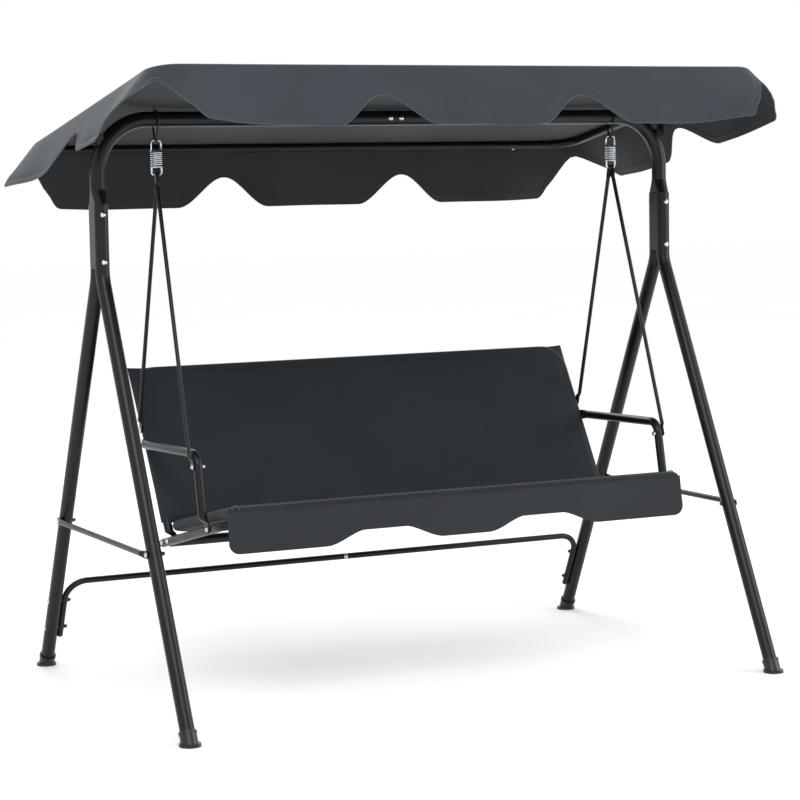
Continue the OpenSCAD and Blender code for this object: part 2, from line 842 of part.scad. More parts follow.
module valance_end(side, y) {
    s = sin(flare_end);
    c = cos(flare_end);
    color(cloth_colour) canopy()
        place([-side, 0, 0], [0, -side * s, c], [0, side * c, s],
            [0, side * y, cloth_z - seat_gap - cloth_t * s])
            linear_extrude(cloth_t)
                lobed_strip(seat_gap - cloth_x, cloth_x - seat_gap, lobe_len, [-265, 265]);
}

module valance_left() left() valance_side();
module valance_right() valance_side();
module valance_front() valance_end(-1, cloth_front);
module valance_rear() valance_end(1, cloth_rear);

// ---- Springs ----

module end_turn(z) translate([hang_x, 0, z]) rotate_extrude() translate([coil_r, 0])
    circle(spring_wire / 2);

// Stirrup from an end turn to the straight wire that carries the load
module stirrup(z_turn, z_wire) {
    bent_rod([
        [hang_x - coil_r, 0, z_turn], [hang_x - coil_r, 0, z_wire],
        [hang_x + coil_r, 0, z_wire], [hang_x + coil_r, 0, z_turn]
    ], hook_bend, spring_wire / 2);
}

// One wire: a square topped hook that turns into the coil
module spring() {
    x = [1, 0, 0];
    z = [0, 0, 1];
    low = coil_low + spring_wire + 0.3;
    n = coil_turns * coil_steps;
    start = coil_top - coil_entry;
    side = coil_r - hook_bend;
    arch = concat(
        [[-coil_r, 0, coil_top - 1]],
        arc([-side, 0, swing_z - hook_bend], hook_bend, 180, 90, x, z, 6),
        arc([side, 0, swing_z - hook_bend], hook_bend, 90, 0, x, z, 6)
    );
    entry = [for (a = [0 : 15 : 75]) let (q = coil_entry * (1 - cos(a)) / coil_r * 180 / PI)
        [coil_r * cos(q), coil_r * sin(q), coil_top - coil_entry * sin(a)]];
    from = coil_entry / coil_r * 180 / PI;
    coil = [for (i = [0 : n]) let (q = from + 360 * i / coil_steps)
        [coil_r * cos(q), coil_r * sin(q), start + (low - start) * i / n]];
    color(zinc_colour) translate([hang_x, 0, 0])
        wire(concat(arch, entry, coil), spring_wire / 2, [0, 1, 0]);
}

module spring_hook() {
    color(zinc_colour) {
        end_turn(coil_low);
        stirrup(coil_low, rock_z);
    }
}

module spring_left() left() spring();
module spring_right() spring();
module spring_hook_left() left() spring_hook();
module spring_hook_right() spring_hook();

// ---- Hanger rods ----

// Rod from its eye on the spring hook to its flattened foot
module hanger(foot, x_eye, x_flat) {
    top = [0, rock_z];
    down = unit(foot - top);
    eye_neck = 30;
    foot_neck = hang_reach + hang_taper;
    color(tube_colour) difference() {
        union() {
            rod(yz(x_eye, top + down * eye_neck), yz(x_flat + hang_out, foot - down * foot_neck),
                rod_d / 2);
            flat_end(top, down, x_eye - eye_t / 2, eye_t, eye_r, x_eye, rod_d / 2, 22, 8);
            flat_end(foot, -down, x_flat, flat_t, hang_flat_w, x_flat + hang_out, rod_d / 2,
                hang_reach, hang_taper);
        }
        rod(yz(x_eye - 10, top), yz(x_eye + 10, top), spring_wire / 2 + eye_fit);
        bore_x(x_flat - 5, x_flat + 10, foot, small_d);
    }
}

module hanger_front_left() left() hanger_front_right();
module hanger_front_right() hanger(front_hang, hang_x + eye_shift, arm_flat_out);
module hanger_rear_left() left() hanger_rear_right();
module hanger_rear_right() hanger(rear_hang, hang_x - eye_shift, back_flat_x);

// ---- Armrests ----

module armrest() {
    neck = arm_reach + arm_taper;
    run = unit(arm_corner - arm_rear);
    path = [yz(arm_x, arm_rear + run * neck), yz(arm_x, arm_corner),
        yz(arm_x, arm_foot - arm_drop * neck)];
    color(tube_colour) difference() {
        union() {
            bent_tube(path, arm_bend, seat_r, seat_wall);
            flat_end(arm_rear, run, back_flat_x, flat_t, arm_flat_w, arm_x, seat_r,
                arm_reach, arm_taper);
            flat_end(arm_foot, -arm_drop, rail_flat_x, flat_t, arm_flat_w, arm_x, seat_r,
                arm_reach, arm_taper);
        }
        bore_x(back_flat_x - 5, back_flat_x + 8, arm_rear, small_d);
        bore_x(rail_flat_x - 5, rail_flat_x + 8, arm_foot, small_d);
        bore_x(arm_x - 20, arm_x + 20, front_hang, small_d);
    }
}

module armrest_left() left() armrest();
module armrest_right() armrest();

// ---- Seat frame ----

module seat_frame() {
    path = [yz(side_x, cross_tube - rail * rail_tail), yz(side_x, front_tube),
        yz(half_gap, front_tube)];
    color(tube_colour) difference() {
        bent_tube(path, rail_bend, seat_r, seat_wall);
        for (p = [cross_tube, back_pin, arm_foot]) bore_x(side_x - 15, side_x + 15, p, small_d);
    }
}

module seat_frame_left() left() seat_frame();
module seat_frame_right() seat_frame();

module seat_rear_tube() {
    x = side_x - seat_r - seat_gap;
    color(tube_colour) difference() {
        rod(yz(-x, cross_tube), yz(x, cross_tube), cross_r);
        rod(yz(-x + 4, cross_tube), yz(x - 4, cross_tube), cross_r - seat_wall);
        both() bore_x(x - 10, x + 1, cross_tube, small_d);
    }
}

module joint_sleeve(p) {
    r = seat_r - seat_wall - hole_fit;
    difference() {
        rod(yz(-50, p), yz(50, p), r);
        rod(yz(-51, p), yz(51, p), r - seat_wall);
    }
}

module seat_sleeves() {
    color(zinc_colour) {
        joint_sleeve(front_tube);
        joint_sleeve(back_at(back_top_s, 0));
    }
}

// ---- Back frame ----

function back_path(start, x_end) = [
    yz(side_x, back_pin + back_dir * start),
    yz(side_x, back_at(back_top_s, 0)),
    yz(x_end, back_at(back_top_s, 0))
];

// The whole loop of the back frame from a given distance up the back
function back_loop(s) = [
    yz(-side_x, back_at(s, 0)), yz(-side_x, back_at(back_top_s, 0)),
    yz(side_x, back_at(back_top_s, 0)), yz(side_x, back_at(s, 0))
];

module back_frame() {
    reach = 14;
    taper = 12;
    x_flat = side_x - seat_r - seat_gap - flat_t;
    color(tube_colour) difference() {
        union() {
            bent_tube(back_path(reach + taper, half_gap), back_bend, seat_r, seat_wall);
            flat_end(back_pin, back_dir, x_flat, flat_t, 10, side_x, seat_r, reach, taper);
        }
        bore_x(x_flat - 5, x_flat + 8, back_pin, small_d);
        for (p = [arm_rear, rear_hang]) bore_x(side_x, side_x + 15, p, small_d);
    }
}

module back_frame_left() left() back_frame();
module back_frame_right() back_frame();

// ---- Cushions ----

module seat_pad() {
    corner = seat_at(0, 0);
    color(cloth_colour) difference() {
        place([0, -cos(seat_tilt), sin(seat_tilt)], [0, sin(seat_tilt), cos(seat_tilt)],
            [-1, 0, 0], yz(pad_x, corner))
            linear_extrude(2 * pad_x) {
                translate([pad_rear, -pad_t]) square([seat_len - pad_round - pad_rear, pad_t]);
                translate([pad_rear, pad_round - pad_t])
                    square([seat_len - pad_rear, pad_t - 2 * pad_round]);
                for (n = [-pad_round, pad_round - pad_t])
                    translate([seat_len - pad_round, n]) circle(pad_round);
            }
        both() bent_rod(back_path(0, side_x - 200), back_bend, seat_r + 4, 20);
    }
}

module back_pad() {
    low = 12;
    edge = pad_front_n + seat_gap;
    side_w = edge - 1.3;
    reach = back_top_s + edge - low;
    color(cloth_colour) difference() {
        side_plane(back_at(0, 0), back_dir) {
            translate([low, pad_front_n - back_t, -side_x])
                cube([back_top_s - low, back_t, 2 * side_x]);
            for (x = [-side_x, side_x])
                translate([low, -edge, x - side_w]) cube([reach, 2 * edge, 2 * side_w]);
            translate([back_top_s - edge, -edge, -side_x]) cube([2 * edge, 2 * edge, 2 * side_x]);
        }
        bent_rod(back_loop(low), back_bend, seat_r + seat_gap, 5);
        both() for (p = [arm_rear, rear_hang]) bore_x(side_x, side_x + 20, p, small_d);
    }
}

// Scalloped strip that hangs in front of the seat
module seat_valance() {
    s = sin(skirt_lean);
    c = cos(skirt_lean);
    top = seat_at(seat_len, -pad_t / 2 + 2);
    front = min(top[0], seat_at(seat_len, pad_round - pad_t)[0]) - 2 * seat_gap;
    color(cloth_colour)
        place([1, 0, 0], [0, s, c], [0, -c, s], [0, front, top[1]])
            linear_extrude(cloth_t) offset(r = 20) offset(delta = -20) difference() {
                translate([-pad_x, -skirt_len]) square([2 * pad_x, skirt_len]);
                for (x = [-217, 217]) translate([x, -skirt_len])
                    polygon([[-100, -1], [100, -1], [60, 33], [-60, 33]]);
            }
}

// ---- Fasteners of the seat ----

module seat_bolts() {
    out_back = back_flat_x + flat_t + 0.1;
    out_rail = side_x + seat_r + 0.1;
    out_foot = rail_flat_x + flat_t + 0.1;
    out_hang = arm_flat_out + flat_t + 0.1;
    in_rail = side_x - seat_r;
    color(zinc_colour) both() {
        for (p = [arm_rear, rear_hang]) bolt_x(out_back, p, out_back - side_x - 3);
        bolt_x(out_rail, cross_tube, out_rail - in_rail + 7);
        bolt_x(out_rail, back_pin, out_rail - in_rail + flat_t + small_nut_h + 2);
        bolt_x(out_foot, arm_foot, out_foot - in_rail + small_nut_h + 1);
        bolt_x(out_hang, front_hang, out_hang - (arm_x - seat_r) + small_nut_h + 1);
    }
}

module seat_nuts() {
    in_rail = side_x - seat_r - 0.1;
    color(zinc_colour) both() {
        along(yz(in_rail - flat_t - seat_gap, back_pin), [-1, 0, 0]) hex_nut(small_d, small_nut_h);
        along(yz(in_rail, arm_foot), [-1, 0, 0]) hex_nut(small_d, small_nut_h);
        along(yz(arm_x - seat_r - 0.1, front_hang), [-1, 0, 0]) hex_nut(small_d, small_nut_h);
    }
}

front_leg_left();
front_leg_right();
rear_leg_left();
rear_leg_right();
foot_front_left();
foot_front_right();
foot_rear_left();
foot_rear_right();
beam_left();
beam_right();
beam_sleeve();
side_tie_left();
side_tie_right();
stretcher_left();
stretcher_right();
canopy_bracket_left();
canopy_bracket_right();
bracket_saddle_left();
bracket_saddle_right();
spring_ring_left();
spring_ring_right();
leg_bolts();
beam_bolts();
tie_bolts();
stretcher_bolts();
bracket_bolts();
pivot_bolts();
cap_nuts();
lock_nuts();
canopy_arm_left();
canopy_arm_right();
canopy_front_tube();
canopy_rear_tube();
canopy_screws();
canopy_top();
valance_front();
valance_rear();
valance_left();
valance_right();
spring_left();
spring_right();
spring_hook_left();
spring_hook_right();
hanger_front_left();
hanger_front_right();
hanger_rear_left();
hanger_rear_right();
armrest_left();
armrest_right();
seat_frame_left();
seat_frame_right();
seat_rear_tube();
seat_sleeves();
back_frame_left();
back_frame_right();
seat_pad();
back_pad();
seat_valance();
seat_bolts();
seat_nuts();
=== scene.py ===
# %% [markdown]
# # Three seat garden swing with a tilting canopy
# The swing is a bent steel tube stand, a seat that hangs from two coil springs, and cloth: a
# canopy, a seat, a back and a skirt. The steel comes from the CAD model, which is loaded first.
# This lesson then makes the cloth and the springs as meshes, and gives every piece its finish.

# %% Load the steel frame
import math

import bmesh
import bpy
from mathutils import Matrix, Vector


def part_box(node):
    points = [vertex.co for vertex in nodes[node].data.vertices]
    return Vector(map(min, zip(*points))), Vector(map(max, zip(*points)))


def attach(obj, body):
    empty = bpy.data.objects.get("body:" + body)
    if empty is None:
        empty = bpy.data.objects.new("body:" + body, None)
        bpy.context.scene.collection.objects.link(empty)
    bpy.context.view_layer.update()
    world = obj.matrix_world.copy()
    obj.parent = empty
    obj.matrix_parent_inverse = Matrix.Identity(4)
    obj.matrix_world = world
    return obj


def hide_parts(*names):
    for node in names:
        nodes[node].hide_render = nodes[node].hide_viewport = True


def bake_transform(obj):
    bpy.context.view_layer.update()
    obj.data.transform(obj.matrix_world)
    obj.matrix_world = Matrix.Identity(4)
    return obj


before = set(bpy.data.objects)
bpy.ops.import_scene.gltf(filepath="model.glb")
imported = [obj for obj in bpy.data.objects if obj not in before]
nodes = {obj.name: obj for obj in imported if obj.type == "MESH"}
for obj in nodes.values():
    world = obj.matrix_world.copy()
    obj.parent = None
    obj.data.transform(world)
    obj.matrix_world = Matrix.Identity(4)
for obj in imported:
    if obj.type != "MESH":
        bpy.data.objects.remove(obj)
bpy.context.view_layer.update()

MM = 0.001
print("CAD nodes:", len(nodes))

# %% [markdown]
# ## How finishes are written
# A finish is a small network of shader nodes. Colours are picked as sRGB hex values, as in any
# paint program, and one function turns them into the linear numbers that light is worked out
# with. One helper adds a node with its settings and its links, so each finish below reads as a
# short recipe. Another joins the three results that every finish ends in to its shader.

# %% Helpers for finishes
def linear(hex_colour):
    """sRGB hex colour as a linear RGBA colour."""
    parts = [int(hex_colour[i:i + 2], 16) / 255 for i in (1, 3, 5)]
    return tuple(c / 12.92 if c <= 0.04045 else ((c + 0.055) / 1.055) ** 2.4
                 for c in parts) + (1.0,)


def add(tree, kind, settings, links=None):
    """Add one node. Settings are socket values or properties; links name other outputs."""
    made = tree.nodes.new("ShaderNode" + kind)
    for name, value in settings.items():
        if isinstance(name, int) or name in made.inputs:
            made.inputs[name].default_value = value
        else:
            setattr(made, name, value)
    for name, output in (links or {}).items():
        tree.links.new(output, made.inputs[name])
    return made


def start_finish(name, **shader_settings):
    """Empty material with its shader; returns the material, its tree and the shader."""
    finish = bpy.data.materials.new(name)
    finish.use_nodes = True
    tree = finish.node_tree
    shader = tree.nodes["Principled BSDF"]
    for socket, value in shader_settings.items():
        shader.inputs[socket.replace("_", " ")].default_value = value
    return finish, tree, shader


def join(tree, shader, tint, gloss, skin):
    """Join colour, roughness and bump to the shader."""
    tree.links.new(tint.outputs[2], shader.inputs["Base Color"])
    tree.links.new(gloss.outputs["Result"], shader.inputs["Roughness"])
    tree.links.new(skin.outputs["Normal"], shader.inputs["Normal"])


def per_metre(millimetres):
    """Pattern scale that repeats once in this many millimetres."""
    return 1 / (millimetres * MM)


print("#808080 is linear", round(linear("#808080")[0], 3))

# %% [markdown]
# ## Powder coated steel
# The tubes are sprayed with dry polyester powder and baked, which leaves a tough satin skin. It
# could be one flat dark colour, but real powder flows into very fine orange peel, with bumps
# about 2 mm apart, and its gloss drifts a little from place to place. Two noises give that: a
# slow one for gloss and colour, and a fine one for the peel.

# %% Powder coat
PEEL_MM = 2.2
DRIFT_MM = 140
powder_coat, tree, shader = start_finish(
    "satin_black_powder_coat", IOR=1.45, Specular_IOR_Level=0.3, Coat_Weight=0.06,
    Coat_Roughness=0.25)
place = add(tree, "TexCoord", {})
drift = add(tree, "TexNoise", {"Scale": per_metre(DRIFT_MM), "Detail": 2.0},
            {"Vector": place.outputs["Object"]})
peel = add(tree, "TexNoise", {"Scale": per_metre(PEEL_MM), "Detail": 1.0},
           {"Vector": place.outputs["Object"]})
tint = add(tree, "Mix", {"data_type": "RGBA", 6: linear("#080B0E"), 7: linear("#101519")},
           {0: drift.outputs["Fac"]})
gloss = add(tree, "MapRange", {"To Min": 0.26, "To Max": 0.40}, {"Value": drift.outputs["Fac"]})
skin = add(tree, "Bump", {"Strength": 0.12, "Distance": 0.0002}, {"Height": peel.outputs["Fac"]})
join(tree, shader, tint, gloss, skin)
print("made", powder_coat.name)

# %% [markdown]
# ## Moulded black plastic
# Foot caps, cap nuts and the saddles under the canopy's brackets are injection moulded
# polypropylene. It shows the fine spark texture of its mould and scuffs to a paler grey where it
# rubs, so a grain drives the bump and a broad noise the scuffs.

# %% Moulded plastic
GRAIN_MM = 1.2
SCUFF_MM = 18
black_plastic, tree, shader = start_finish("moulded_black_polypropylene", IOR=1.49)
place = add(tree, "TexCoord", {})
grain = add(tree, "TexNoise", {"Scale": per_metre(GRAIN_MM)},
            {"Vector": place.outputs["Object"]})
scuff = add(tree, "TexNoise", {"Scale": per_metre(SCUFF_MM), "Detail": 6.0},
            {"Vector": place.outputs["Object"]})
worn = add(tree, "MapRange", {"From Min": 0.58, "From Max": 0.75},
           {"Value": scuff.outputs["Fac"]})
tint = add(tree, "Mix", {"data_type": "RGBA", 6: linear("#0E0F11"), 7: linear("#1C1E21")},
           {0: worn.outputs["Result"]})
gloss = add(tree, "MapRange", {"To Min": 0.32, "To Max": 0.5}, {"Value": worn.outputs["Result"]})
skin = add(tree, "Bump", {"Strength": 0.2, "Distance": 0.0002}, {"Height": grain.outputs["Fac"]})
join(tree, shader, tint, gloss, skin)
print("made", black_plastic.name)

# %% [markdown]
# ## Zinc plated steel
# Bolts, springs and spring hooks are bright zinc on steel. Plating is a metal, so all its colour
# is in its reflections. It has small cloudy patches from the bath: a cell pattern times a noise
# gives them. The metal keeps the default IOR. Bare drawn steel, on the inner sleeves, is the same
# recipe, duller and darker.

# %% Zinc plating and bare steel
PATCH_MM = 5
CLOUD_MM = 15


def plated(name, bright, cloudy, low_gloss, high_gloss):
    """Metal finish with cloudy patches between two colours."""
    finish, tree, shader = start_finish(name, Metallic=1.0)
    place = add(tree, "TexCoord", {})
    patch = add(tree, "TexVoronoi", {"Scale": per_metre(PATCH_MM)},
                {"Vector": place.outputs["Object"]})
    cloud = add(tree, "TexNoise", {"Scale": per_metre(CLOUD_MM), "Detail": 3.0},
                {"Vector": place.outputs["Object"]})
    both = add(tree, "Math", {"operation": "MULTIPLY"},
               {0: patch.outputs["Distance"], 1: cloud.outputs["Fac"]})
    tint = add(tree, "Mix", {"data_type": "RGBA", 6: linear(cloudy), 7: linear(bright)},
               {0: cloud.outputs["Fac"]})
    gloss = add(tree, "MapRange", {"From Max": 0.5, "To Min": low_gloss, "To Max": high_gloss},
                {"Value": both.outputs[0]})
    skin = add(tree, "Bump", {"Strength": 0.1, "Distance": 0.0001}, {"Height": both.outputs[0]})
    join(tree, shader, tint, gloss, skin)
    print("made", name)
    return finish


zinc = plated("bright_zinc_plate", "#E4E7EA", "#B9BDC2", 0.16, 0.34)
spring_zinc = plated("zinc_plated_spring_wire", "#E9ECEE", "#AEB3B8", 0.14, 0.3)
bare_steel = plated("drawn_bare_steel", "#C5C6C8", "#8F9194", 0.28, 0.45)

# %% [markdown]
# ## Woven polyester
# The canopy is coated polyester and the seat a heavier one. Both are plain weaves: threads pass
# over and under each other at right angles. Two wave patterns at right angles, multiplied, give
# the little pillows between threads. Real threads are 0.5 mm apart, which is too fine to show at
# this distance, so the weave is drawn four to five times as coarse. Slow noise adds the shade
# changes of cloth that has been folded in a box, and a little sheen is the fuzz of the yarn.

# %% Woven cloth
CANOPY_THREAD_MM = 2.0
SEAT_THREAD_MM = 2.4
BINDING_THREAD_MM = 1.0
SHADE_MM = 260
GLOSS_SPAN = 0.06
BAND = math.tau / 20  # a wave texture makes 20 / tau bands for each unit of its scale


def woven(name, thread_mm, dark, light, roughness, coordinates, **shader_settings):
    """Plain weave whose threads run along the first two of the given coordinates."""
    finish, tree, shader = start_finish(name, IOR=1.45, **shader_settings)
    place = add(tree, "TexCoord", {})
    spot = place.outputs[coordinates]
    warp, weft = [
        add(tree, "TexWave", {"bands_direction": direction, "Scale": per_metre(thread_mm) * BAND,
                              "Distortion": 0.4, "Detail": 1.0}, {"Vector": spot})
        for direction in "XY"]
    cloth = add(tree, "Math", {"operation": "MULTIPLY"},
                {0: warp.outputs["Fac"], 1: weft.outputs["Fac"]})
    shade = add(tree, "TexNoise", {"Scale": per_metre(SHADE_MM), "Detail": 4.0, "Roughness": 0.55},
                {"Vector": place.outputs["Object"]})
    yarn = add(tree, "TexNoise", {"Scale": per_metre(thread_mm * 2)}, {"Vector": spot})
    mixed = add(tree, "MapRange", {"From Min": 0.3, "From Max": 0.7},
                {"Value": shade.outputs["Fac"]})
    base = add(tree, "Mix", {"data_type": "RGBA", 6: linear(dark), 7: linear(light)},
               {0: mixed.outputs["Result"]})
    thread_shade = add(tree, "MapRange", {"To Min": 0.88, "To Max": 1.08},
                       {"Value": cloth.outputs[0]})
    threads = add(tree, "Mix", {"data_type": "RGBA", "blend_type": "MULTIPLY", 0: 1.0},
                  {6: base.outputs[2], 7: thread_shade.outputs["Result"]})
    matt = add(tree, "MapRange",
               {"To Min": roughness - GLOSS_SPAN, "To Max": roughness + GLOSS_SPAN},
               {"Value": yarn.outputs["Fac"]})
    weave = add(tree, "Bump", {"Strength": 0.35, "Distance": 0.0004}, {"Height": cloth.outputs[0]})
    soft = add(tree, "Bump", {"Strength": 0.25, "Distance": 0.004},
               {"Height": shade.outputs["Fac"], "Normal": weave.outputs["Normal"]})
    join(tree, shader, threads, matt, soft)
    print("made", name)
    return finish


canopy_outside = woven("coated_polyester_outside", CANOPY_THREAD_MM, "#252C32", "#2D353B",
                       0.62, "UV", Sheen_Weight=0.05, Specular_IOR_Level=0.35)
canopy_lining = woven("coated_polyester_inside", CANOPY_THREAD_MM, "#232628", "#2A2D2F",
                      0.75, "UV", Sheen_Weight=0.05, Specular_IOR_Level=0.3)
seat_cloth = woven("woven_polyester_seat_cloth", SEAT_THREAD_MM, "#191E22", "#20262B",
                   0.72, "Object", Sheen_Weight=0.05, Specular_IOR_Level=0.35)
skirt_cloth = woven("woven_polyester_skirt_cloth", SEAT_THREAD_MM, "#1B1F22", "#22262A",
                    0.7, "Object", Sheen_Weight=0.05, Specular_IOR_Level=0.35)
sewing_thread = woven("polyester_binding_and_thread", BINDING_THREAD_MM, "#323A41", "#3E474F",
                      0.55, "Object")

# %% [markdown]
# ## Finishes for the CAD pieces
# Every steel piece keeps its CAD shape. Each name starts with the kind of piece it is, so a short
# list from name to finish covers them all, and what it doesn't list is powder coated.

# %% Finish each CAD piece
FINISHES = [
    (("foot_", "cap_nuts", "bracket_saddle"), black_plastic),
    (("beam_sleeve", "seat_sleeves"), bare_steel),
    (("leg_bolts", "beam_bolts", "tie_bolts", "stretcher_bolts", "bracket_bolts", "pivot_bolts",
      "lock_nuts", "canopy_screws", "seat_bolts", "seat_nuts", "spring_hook"), zinc),
]
for name, piece in nodes.items():
    finish = powder_coat
    for starts, candidate in FINISHES:
        if name.startswith(starts):
            finish = candidate
    piece.data.materials.clear()
    piece.data.materials.append(finish)
    for face in piece.data.polygons:
        face.material_index = 0
print("finished", len(nodes), "CAD pieces")

# %% [markdown]
# ## Building cloth as meshes
# Cloth pieces are easiest to shape in their own flat coordinates, in millimetres, and then to
# place as a whole. The first helper turns lists of points and faces into an object, places it, and
# smooths it. The others give placements, soft steps, small waves and wires.

# %% Helpers for meshes
def make_piece(name, points, faces, finishes, place=None, smooth=True):
    """Mesh object from points in millimetres in its own coordinates."""
    mesh = bpy.data.meshes.new(name)
    mesh.from_pydata([tuple(c * MM for c in p) for p in points], [], faces)
    piece = bpy.data.objects.new(name, mesh)
    bpy.context.scene.collection.objects.link(piece)
    for finish in finishes:
        mesh.materials.append(finish)
    if smooth:
        mesh.polygons.foreach_set("use_smooth", [True] * len(mesh.polygons))
    if place is not None:
        piece.matrix_world = place
    bpy.context.view_layer.update()
    return piece


def axes(x, y, z, origin_mm):
    """Placement with the given axes and origin."""
    rows = [[x[i], y[i], z[i], origin_mm[i] * MM] for i in range(3)]
    return Matrix(rows + [[0, 0, 0, 1]])


def ease(t):
    """Smooth step from 0 to 1."""
    t = min(max(t, 0.0), 1.0)
    return t * t * (3 - 2 * t)


def waves(at, parts):
    """Sum of sine waves; each part is a height, a length and a shift."""
    return sum(height * math.sin(at / length + shift) for height, length, shift in parts)


def sweep(path, radius, sides, closed=False):
    """Points and faces of a round wire along a path, carried without twist."""
    count = len(path)
    heads = []
    for i in range(count):
        ahead = path[(i + 1) % count] if closed else path[min(i + 1, count - 1)]
        behind = path[i - 1] if closed else path[max(i - 1, 0)]
        heads.append((Vector(ahead) - Vector(behind)).normalized())
    side = heads[0].orthogonal().normalized()
    points = []
    for centre, head in zip(path, heads):
        side = (side - head * side.dot(head)).normalized()
        up = head.cross(side)
        for j in range(sides):
            turn = math.tau * j / sides
            spoke = math.cos(turn) * side + math.sin(turn) * up
            points.append(tuple(Vector(centre) + radius * spoke))
    faces = []
    for i in range(count if closed else count - 1):
        a, b = i * sides, ((i + 1) % count) * sides
        for j in range(sides):
            k = (j + 1) % sides
            faces.append((a + j, a + k, b + k, b + j))
    if not closed:
        faces.append(tuple(reversed(range(sides))))
        faces.append(tuple((count - 1) * sides + j for j in range(sides)))
    return points, faces


print("helpers ready")

# %% [markdown]
# ## Canopy
# The real canopy is one piece of sewn cloth that is stretched over a tube frame, with a scalloped
# skirt all round. It could be five flat panels, but then it would look like a box lid. Here it is
# one continuous sheet: rings of points spread from the middle of the roof, roll over the tubes,
# and hang down as the skirt. The top sags between the tubes, and the skirt's length follows a
# smooth curve that makes the lobes. The canopy's frame is tipped by 10.2 degrees, so the sheet is
# made level and then tipped with it.

# %% Outline of the canopy
ROOF_X = 806.7
ROOF_FRONT = -456.3
ROOF_REAR = 497.3
ROOF_CORNER = 66
ROOF_TOP = 13.0
ROOF_TIP = math.radians(10.2)
PIVOT_Z = 1438.5
SKIRT_LEN = 155
END_SKIRT_LEN = 166
SIDE_FLARE = 31
FRONT_FLARE = 21
REAR_FLARE = 16
CORNER_FLARE = 11
NOTCH_X = 265
NOTCH_DEPTH = 80
NOTCH_HALF = 130
NOTCH_FLAT = 2
CORNER_SEAM = 52
CORNER_REACH = 78
OUTLINE_STEP = 9
ARC_STEPS = 9
END_SHARE = 0.7  # past this sine of the outward angle, a place is on the front or the rear
roof_place = axes((1, 0, 0), (0, math.cos(ROOF_TIP), -math.sin(ROOF_TIP)),
                  (0, math.sin(ROOF_TIP), math.cos(ROOF_TIP)), (0, 0, PIVOT_Z))


def roof_outline():
    """Points round the roof's edge: place, outward angle and distance from the corner."""
    middle = (ROOF_FRONT + ROOF_REAR) / 2
    half_y = (ROOF_REAR - ROOF_FRONT) / 2
    flat_x, flat_y = ROOF_X - ROOF_CORNER, half_y - ROOF_CORNER
    runs = [  # start, end, outward angle in degrees
        ((-flat_x, -half_y), (flat_x, -half_y), -90),
        ((ROOF_X, -flat_y), (ROOF_X, flat_y), 0),
        ((flat_x, half_y), (-flat_x, half_y), 90),
        ((-ROOF_X, flat_y), (-ROOF_X, -flat_y), 180)]
    found = []
    for start, end, facing in runs:
        length = math.dist(start, end)
        steps = round(length / OUTLINE_STEP)
        for i in range(steps):
            t = i / steps
            x = start[0] + (end[0] - start[0]) * t
            y = start[1] + (end[1] - start[1]) * t
            found.append((x, y + middle, facing, min(t, 1 - t) * length))
        centre = (math.copysign(flat_x, end[0]), math.copysign(flat_y, end[1]))
        for i in range(ARC_STEPS):
            t = i / ARC_STEPS
            turn = math.radians(facing + 90 * t)
            found.append((centre[0] + ROOF_CORNER * math.cos(turn),
                          centre[1] + middle + ROOF_CORNER * math.sin(turn),
                          facing + 90 * t, -ROOF_CORNER * math.pi / 2 * min(t, 1 - t)))
    return found


def skirt_length(x, y, facing, from_corner):
    """How far the skirt hangs at one place of the outline."""
    on_end = abs(math.sin(math.radians(facing)))
    corner = from_corner + ROOF_CORNER * math.pi / 4
    full = SKIRT_LEN + (END_SKIRT_LEN - SKIRT_LEN) * on_end ** 2
    length = CORNER_SEAM + (full - CORNER_SEAM) * ease(corner / CORNER_REACH)
    along = abs(abs(x) - NOTCH_X) if on_end > END_SHARE else abs(y)
    notch = ease((NOTCH_HALF - along) / (NOTCH_HALF - NOTCH_FLAT))
    return length - NOTCH_DEPTH * notch


outline = roof_outline()
print("canopy outline points:", len(outline))

# %% [markdown]
# The top of the roof comes first. Its rings are shrunken copies of the outline, closer together
# near the edge, where the cloth bends most. Between the tubes it sags by about 9 mm.

# %% Top of the canopy
ROLL = 13
TOP_RINGS = 22
RING_CROWD = 1.3
RIM_INSET = 24
MID_Y = 20.5
SAG = 9
SAG_X, SAG_Y = 770, 445
SAG_MID_Y = 20
SAG_POWER = 0.6
RIPPLE = 0.7
CREASE_HEIGHT, CREASE_WIDTH = 0.9, 5


def roof_sag(x, y):
    """Sag of the roof between its tubes, with two faint creases where it was folded."""
    across = max(0.0, 1 - (x / SAG_X) ** 2)
    along = max(0.0, 1 - ((y - SAG_MID_Y) / SAG_Y) ** 2)
    crease = sum(math.exp(-((x - c) / CREASE_WIDTH) ** 2) for c in (-NOTCH_X, NOTCH_X))
    ripple = RIPPLE * math.sin(x / 61) * math.sin(y / 83 + x / 210)
    hollow = min(across, 1) ** SAG_POWER * min(along, 1) ** SAG_POWER
    return (SAG + ripple) * hollow + CREASE_HEIGHT * crease * along


def outward(facing):
    """Unit direction of an outward angle in degrees."""
    return math.cos(math.radians(facing)), math.sin(math.radians(facing))


rings = []
for ring in range(1, TOP_RINGS + 1):
    share = 1 - (1 - ring / TOP_RINGS) ** RING_CROWD
    row = []
    for x, y, facing, _ in outline:
        nx, ny = outward(facing)
        px = (x - nx * RIM_INSET) * share
        py = MID_Y + (y - ny * RIM_INSET - MID_Y) * share
        row.append(((px, py, ROOF_TOP - roof_sag(px, py)), (px * MM, py * MM)))
    rings.append(row)
print("rings of the roof:", len(rings))

# %% [markdown]
# Then the skirt. At each place of the outline a short profile rolls over the tube and drops along
# the flare. It has rows of points at a few shares of its length, and closer ones at the hem, where
# a line of stitches presses the cloth in. Two slow waves make it hang a little unevenly.

